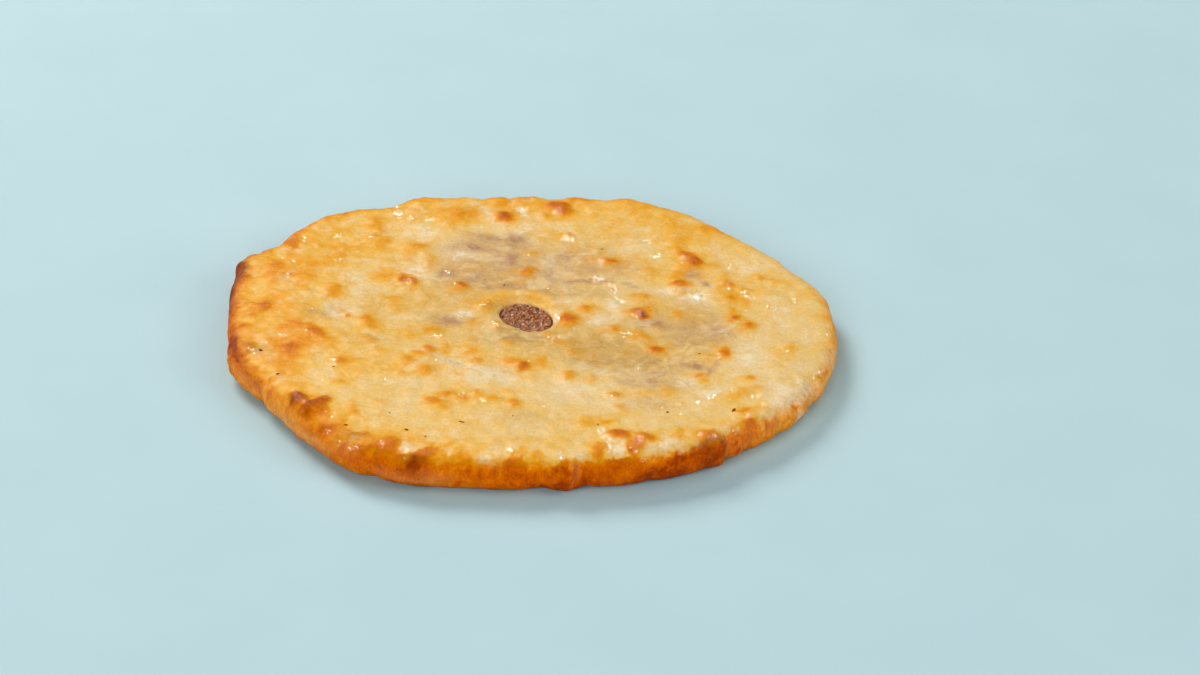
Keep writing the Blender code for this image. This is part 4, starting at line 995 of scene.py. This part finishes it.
class Finish:
    """A material under construction, with short ways to add and join its nodes."""

    def __init__(self, name):
        self.material = bpy.data.materials.new(name)
        self.material.use_nodes = True
        self.tree = self.material.node_tree
        self.place = self.tree.nodes.new("ShaderNodeTexCoord").outputs["Object"]

    def put(self, socket, value):
        """Joins a node's output to a socket, or sets a plain value on it."""
        if isinstance(value, bpy.types.NodeSocket):
            self.tree.links.new(value, socket)
        else:
            socket.default_value = value

    def feed(self, values):
        """Sets the shader's own sockets by name."""
        for name, value in values.items():
            self.put(self.tree.nodes["Principled BSDF"].inputs[name], value)

    def made(self, kind, inputs, output=0):
        """The output of a new node whose inputs are given by name or number."""
        node = self.tree.nodes.new("ShaderNode" + kind)
        for key, value in inputs.items():
            self.put(node.inputs[key], value)
        return node.outputs[output]

    def sums(self, operation, first, second, clamp=False):
        """Two numbers brought together by an operation."""
        node = self.tree.nodes.new("ShaderNodeMath")
        node.operation = operation
        node.use_clamp = clamp
        self.put(node.inputs[0], first)
        self.put(node.inputs[1], second)
        return node.outputs[0]

    def plus(self, first, second):
        return self.sums("ADD", first, second)

    def minus(self, first, second, clamp=False):
        return self.sums("SUBTRACT", first, second, clamp)

    def times(self, first, second, clamp=False):
        return self.sums("MULTIPLY", first, second, clamp)

    def attribute(self, name):
        node = self.tree.nodes.new("ShaderNodeAttribute")
        node.attribute_name = name
        return node.outputs["Fac"]

    def squeezed(self, depth, tall):
        """The place on the piece, with what is behind or above drawn nearer."""
        node = self.tree.nodes.new("ShaderNodeVectorMath")
        node.operation = "MULTIPLY"
        self.put(node.inputs[0], self.place)
        self.put(node.inputs[1], (1.0, 1.0 / depth, 1.0 / tall))
        return node.outputs["Vector"]

    def noise(self, size, detail=2.0, roughness=0.5, swirl=0.0, tall=1.0):
        """Cloudy noise with lumps of a size in millimetres, fine detail as rough as roughness
        says, drawn into swirls, and taller by a factor."""
        return self.made("TexNoise", {
            "Vector": self.squeezed(1.0, tall), "Scale": 1.0 / (size * MM), "Detail": detail,
            "Roughness": roughness, "Distortion": swirl}, "Fac")

    def cells(self, size, depth=1.0):
        """Distance to the nearest of many scattered points, spaced by a size in millimetres
        across, and by that times the depth towards the back."""
        return self.made("TexVoronoi", {
            "Vector": self.squeezed(depth, 1.0), "Scale": 1.0 / (size * MM)}, "Distance")

    def beads(self, size, depth=1.0):
        """Round drops side by side, 1 at the middle of each."""
        return self.minus(1.0, self.sums("POWER", self.cells(size, depth), 2.0))

    def between(self, value, low, high, to_low=0.0, to_high=1.0):
        """A soft step from one value to another, as a value goes from low to high."""
        node = self.tree.nodes.new("ShaderNodeMapRange")
        node.interpolation_type = "SMOOTHSTEP"
        for name, given in (("Value", value), ("From Min", low), ("From Max", high),
                            ("To Min", to_low), ("To Max", to_high)):
            self.put(node.inputs[name], given)
        return node.outputs["Result"]

    def ramp(self, value, stops):
        """A colour for each value, blended between stops of a position and a colour."""
        node = self.tree.nodes.new("ShaderNodeValToRGB")
        self.put(node.inputs["Fac"], value)
        elements = node.color_ramp.elements
        while len(elements) < len(stops):
            elements.new(0.5)
        for element, (position, colour) in zip(elements, stops):
            element.position = position
            element.color = srgb(*colour)
        return node.outputs["Color"]

    def blend(self, amount, first, second, mode="MIX"):
        node = self.tree.nodes.new("ShaderNodeMix")
        node.data_type = "RGBA"
        node.blend_type = mode
        self.put(node.inputs["Factor"], amount)
        self.put(node.inputs[6], first)
        self.put(node.inputs[7], second)
        return node.outputs[2]

    def bump(self, height, distance, strength=1.0, under=None):
        """Fine relief, where distance is its depth in millimetres."""
        inputs = {"Height": height, "Distance": distance * MM, "Strength": strength}
        if under is not None:
            inputs["Normal"] = under
        return self.made("Bump", inputs, "Normal")


def crust_colour(finish, tone, height, side, browned, speckle, pleats):
    """Cream to dark brown by tone, with shadows, films and painted sheen, streaks, freckles, scorches
    and flour, painted warm bounce light low down and on the side, and painted shade along the side's
    pleats.
    """
    colour = finish.ramp(tone, CRUST_COLOURS)
    unbrowned = finish.between(tone, 0.40, 0.64, 1.0, 0.0)
    patchy = finish.between(finish.noise(4.5, 3.0, 0.55, 0.6), 0.30, 0.70, 0.6, 1.2)
    for name, tint in (("oily", OILY), ("beans", MAUVE)):
        amount = finish.times(finish.attribute(name), patchy)
        colour = finish.blend(finish.times(amount, unbrowned, clamp=True), colour, srgb(*tint))
    # Pale films: thin pale dough, and painted broad sheen of the butter; on the rim also painted
    # highlights along ridges.
    film_and_sheen = finish.between(finish.noise(5.5, 3.0, 0.55, 1.0), 0.34, 0.66, 0.35, 1.4)
    pale = finish.times(finish.attribute("pale"), film_and_sheen)
    colour = finish.blend(finish.times(pale, unbrowned, clamp=True), colour, srgb(*FILM_AND_SHEEN))
    streaks = finish.between(finish.noise(9.0, 3.0, 0.55, 1.0), 0.50, 0.68, 0.0, 0.45)
    colour = finish.blend(finish.times(streaks, unbrowned), colour, srgb(*STREAK))
    freckle = finish.between(finish.cells(1.3), 0.10, 0.30, 0.3, 0.0)
    colour = finish.blend(finish.times(freckle, browned), colour, srgb(*FRECKLE))
    colour = finish.blend(finish.attribute("scorch"), colour, finish.ramp(speckle, SCORCH_COLOURS))
    # Painted warm bounce light: the lower dough and the whole side are made warmer, as if lit from a
    # warm surface below.
    low = finish.between(height, 5.0 * MM, 11.5 * MM, 1.0, 0.0)
    colour = finish.blend(low, colour, LOW_PAINTED_BOUNCE, "MULTIPLY")
    colour = finish.blend(side, colour, SIDE_PAINTED_BOUNCE, "MULTIPLY")
    colour = finish.blend(finish.attribute("floury"), colour, srgb(*FLOUR))
    # Painted shade: thin dark lines along the side's pleats.
    crease = finish.sums("ABSOLUTE", finish.minus(pleats, 0.5), 0.0)
    crease = finish.times(finish.between(crease, 0.0, 0.035, 0.6, 0.0), side)
    colour = finish.blend(crease, colour, PLEAT_SHADE, "MULTIPLY")
    grain = finish.between(finish.noise(1.1, 3.0, 0.6), 0.3, 0.7, 0.93, 1.06)
    return finish.blend(1.0, colour, grain, "MULTIPLY")


def dough_finish():
    """Baked dough, from thin cream films with painted sheen to dark blisters, glistening where butter
    lies.
    """
    finish = Finish("buttered_dough")
    height = finish.made("SeparateXYZ", {0: finish.place}, "Z")
    side = finish.between(height, 11.0 * MM, 13.0 * MM, 1.0, 0.0)
    speckle = finish.noise(1.3, 3.0, 0.65)
    rough = finish.plus(finish.times(side, 0.20), 0.07)
    tone = finish.attribute("brown")
    for lumps, amount in ((finish.noise(14.0, 2.0, 0.5, 1.0), 0.44),
                          (finish.noise(5.0, 1.0, 0.5, 0.8), 0.26), (speckle, rough)):
        tone = finish.plus(tone, finish.times(finish.minus(lumps, 0.5), amount))
    browned = finish.between(tone, 0.52, 0.85)
    pleats = finish.noise(2.4, 2.0, 0.6, tall=3.5)

    wet = finish.plus(finish.times(finish.attribute("wet"), 0.34), finish.noise(1.7, 2.0))
    wet = finish.times(finish.between(wet, 0.68, 0.75), finish.between(tone, 0.50, 0.85, 1.0, 0.55))
    dry = finish.between(finish.noise(5.0, 3.0), 0.3, 0.7, 0.42, 0.60)

    normal = finish.bump(finish.noise(4.0, 2.0, 0.5), 0.5, 0.5)
    crinkle = finish.times(finish.noise(1.2, 3.0, 0.65), finish.plus(browned, 0.30))
    normal = finish.bump(crinkle, 0.6, 0.8, under=normal)
    normal = finish.bump(finish.times(pleats, side), 1.6, 0.8, under=normal)
    finish.feed({
        "Base Color": crust_colour(finish, tone, height, side, browned, speckle, pleats),
        "Roughness": finish.minus(dry, finish.times(wet, 0.15), clamp=True),
        "Normal": normal,
        "Coat Weight": wet,
        "Coat Normal": finish.bump(finish.beads(1.1, 1.4), 0.6, under=normal),
        "Coat Roughness": 0.12,
        "Coat IOR": 1.5,
        "Specular IOR Level": 0.05,
        "Specular Tint": (1.0, 0.6, 0.15, 1.0),
        "Subsurface Weight": 0.08,
        "Subsurface Radius": (1.0, 0.6, 0.3),
        "Subsurface Scale": 1.5 * MM,
    })
    return finish.material


def mash_finish():
    """Moist mashed red beans with bits of skin and glistening crumbs."""
    finish = Finish("bean_mash")
    colour = finish.ramp(finish.noise(0.9, 3.0, 0.65), MASH_COLOURS)
    lump = finish.between(finish.noise(3.0, 2.0), 0.35, 0.7, 0.0, 0.35)
    colour = finish.blend(lump, colour, srgb(*MASH_LIGHT))
    skins = finish.between(finish.cells(2.2), 0.12, 0.22, 0.8, 0.0)
    finish.feed({
        "Base Color": finish.blend(skins, colour, srgb(*BEAN_SKIN)),
        "Roughness": finish.between(finish.noise(1.4, 2.0), 0.35, 0.65, 0.30, 0.70),
        "Normal": finish.bump(finish.noise(0.8, 3.0, 0.7), 0.5, 0.9),
        "Coat Weight": finish.between(finish.noise(1.7, 2.0), 0.48, 0.58, 0.0, 0.36),
        "Coat Normal": finish.bump(finish.beads(1.0), 0.4),
        "Coat Roughness": 0.1,
        "Specular IOR Level": 0.25,
        "Specular Tint": (1.0, 0.7, 0.4, 1.0),
    })
    return finish.material


def fleck_finish():
    """Charred flour and crumbs."""
    finish = Finish("char")
    finish.feed({
        "Base Color": finish.ramp(finish.noise(0.5, 2.0), CHAR_COLOURS),
        "Roughness": finish.between(finish.noise(0.4), 0.3, 0.7, 0.5, 0.8),
        "Normal": finish.bump(finish.noise(0.3), 0.05),
        "Specular IOR Level": 0.0,
    })
    return finish.material


def floor_finish():
    finish = Finish("pale_floor")
    finish.feed({
        "Base Color": finish.ramp(finish.noise(60.0, 2.0), FLOOR_COLOURS),
        "Roughness": 0.85,
    })
    return finish.material


def make_floor():
    """A wide plain floor just under the bread."""
    bm = bmesh.new()
    bmesh.ops.create_circle(bm, cap_ends=True, segments=96, radius=FLOOR_REACH)
    bmesh.ops.translate(bm, verts=bm.verts[:], vec=(0.0, 0.0, -FLOOR_DROP))
    linked(finished_mesh("floor", bm), floor_finish())


def add_lights():
    """The soft lights, each aimed at the bread, and faint light from all round."""
    for name, azimuth, elevation, distance, width, height, power, colour, mirrored in LIGHTS:
        data = bpy.data.lights.new(name, "AREA")
        data.shape = "RECTANGLE"
        data.size = width
        data.size_y = height
        data.energy = power
        data.color = colour
        light = bpy.data.objects.new(name, data)
        light.visible_glossy = mirrored
        light.visible_diffuse = not mirrored
        turn = math.radians(azimuth)
        rise = math.radians(elevation)
        light.location = Vector((math.cos(turn) * math.cos(rise), math.sin(turn) * math.cos(rise),
                                 math.sin(rise))) * distance
        light.rotation_euler = light.location.to_track_quat("Z", "Y").to_euler()
        bpy.context.scene.collection.objects.link(light)
    world = bpy.data.worlds.new("studio")
    bpy.context.scene.world = world
    world.use_nodes = True
    background = world.node_tree.nodes["Background"]
    background.inputs["Color"].default_value = SKY_COLOUR
    background.inputs["Strength"].default_value = SKY_STRENGTH


def add_camera():
    """The camera where the photograph was taken from, rolled as it was."""
    data = bpy.data.cameras.new("camera")
    data.lens = LENS
    data.sensor_width = SENSOR
    data.clip_end = 50.0
    camera = bpy.data.objects.new("camera", data)
    forward = Vector((0.0, math.cos(VIEW_ELEVATION), -math.sin(VIEW_ELEVATION)))
    level = Vector((1.0, 0.0, 0.0))
    upright = level.cross(forward)
    right = math.cos(VIEW_ROLL) * level + math.sin(VIEW_ROLL) * upright
    up = math.cos(VIEW_ROLL) * upright - math.sin(VIEW_ROLL) * level
    eye = (VIEW_TARGET - forward * VIEW_DISTANCE) * MM
    turn = Matrix((right, up, -forward)).transposed().to_4x4()
    camera.matrix_world = Matrix.Translation(eye) @ turn
    bpy.context.scene.collection.objects.link(camera)
    bpy.context.scene.camera = camera


def main():
    dough = make_dough(dough_finish())
    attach(dough, "root")
    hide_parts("dough")

    filling = make_filling(mash_finish())
    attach(filling, "root")
    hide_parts("bean_filling")

    flecks = make_flecks(dough, fleck_finish())
    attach(flecks, "root")

    make_floor()
    add_lights()
    add_camera()
    bpy.context.scene.view_settings.view_transform = "Standard"


main()
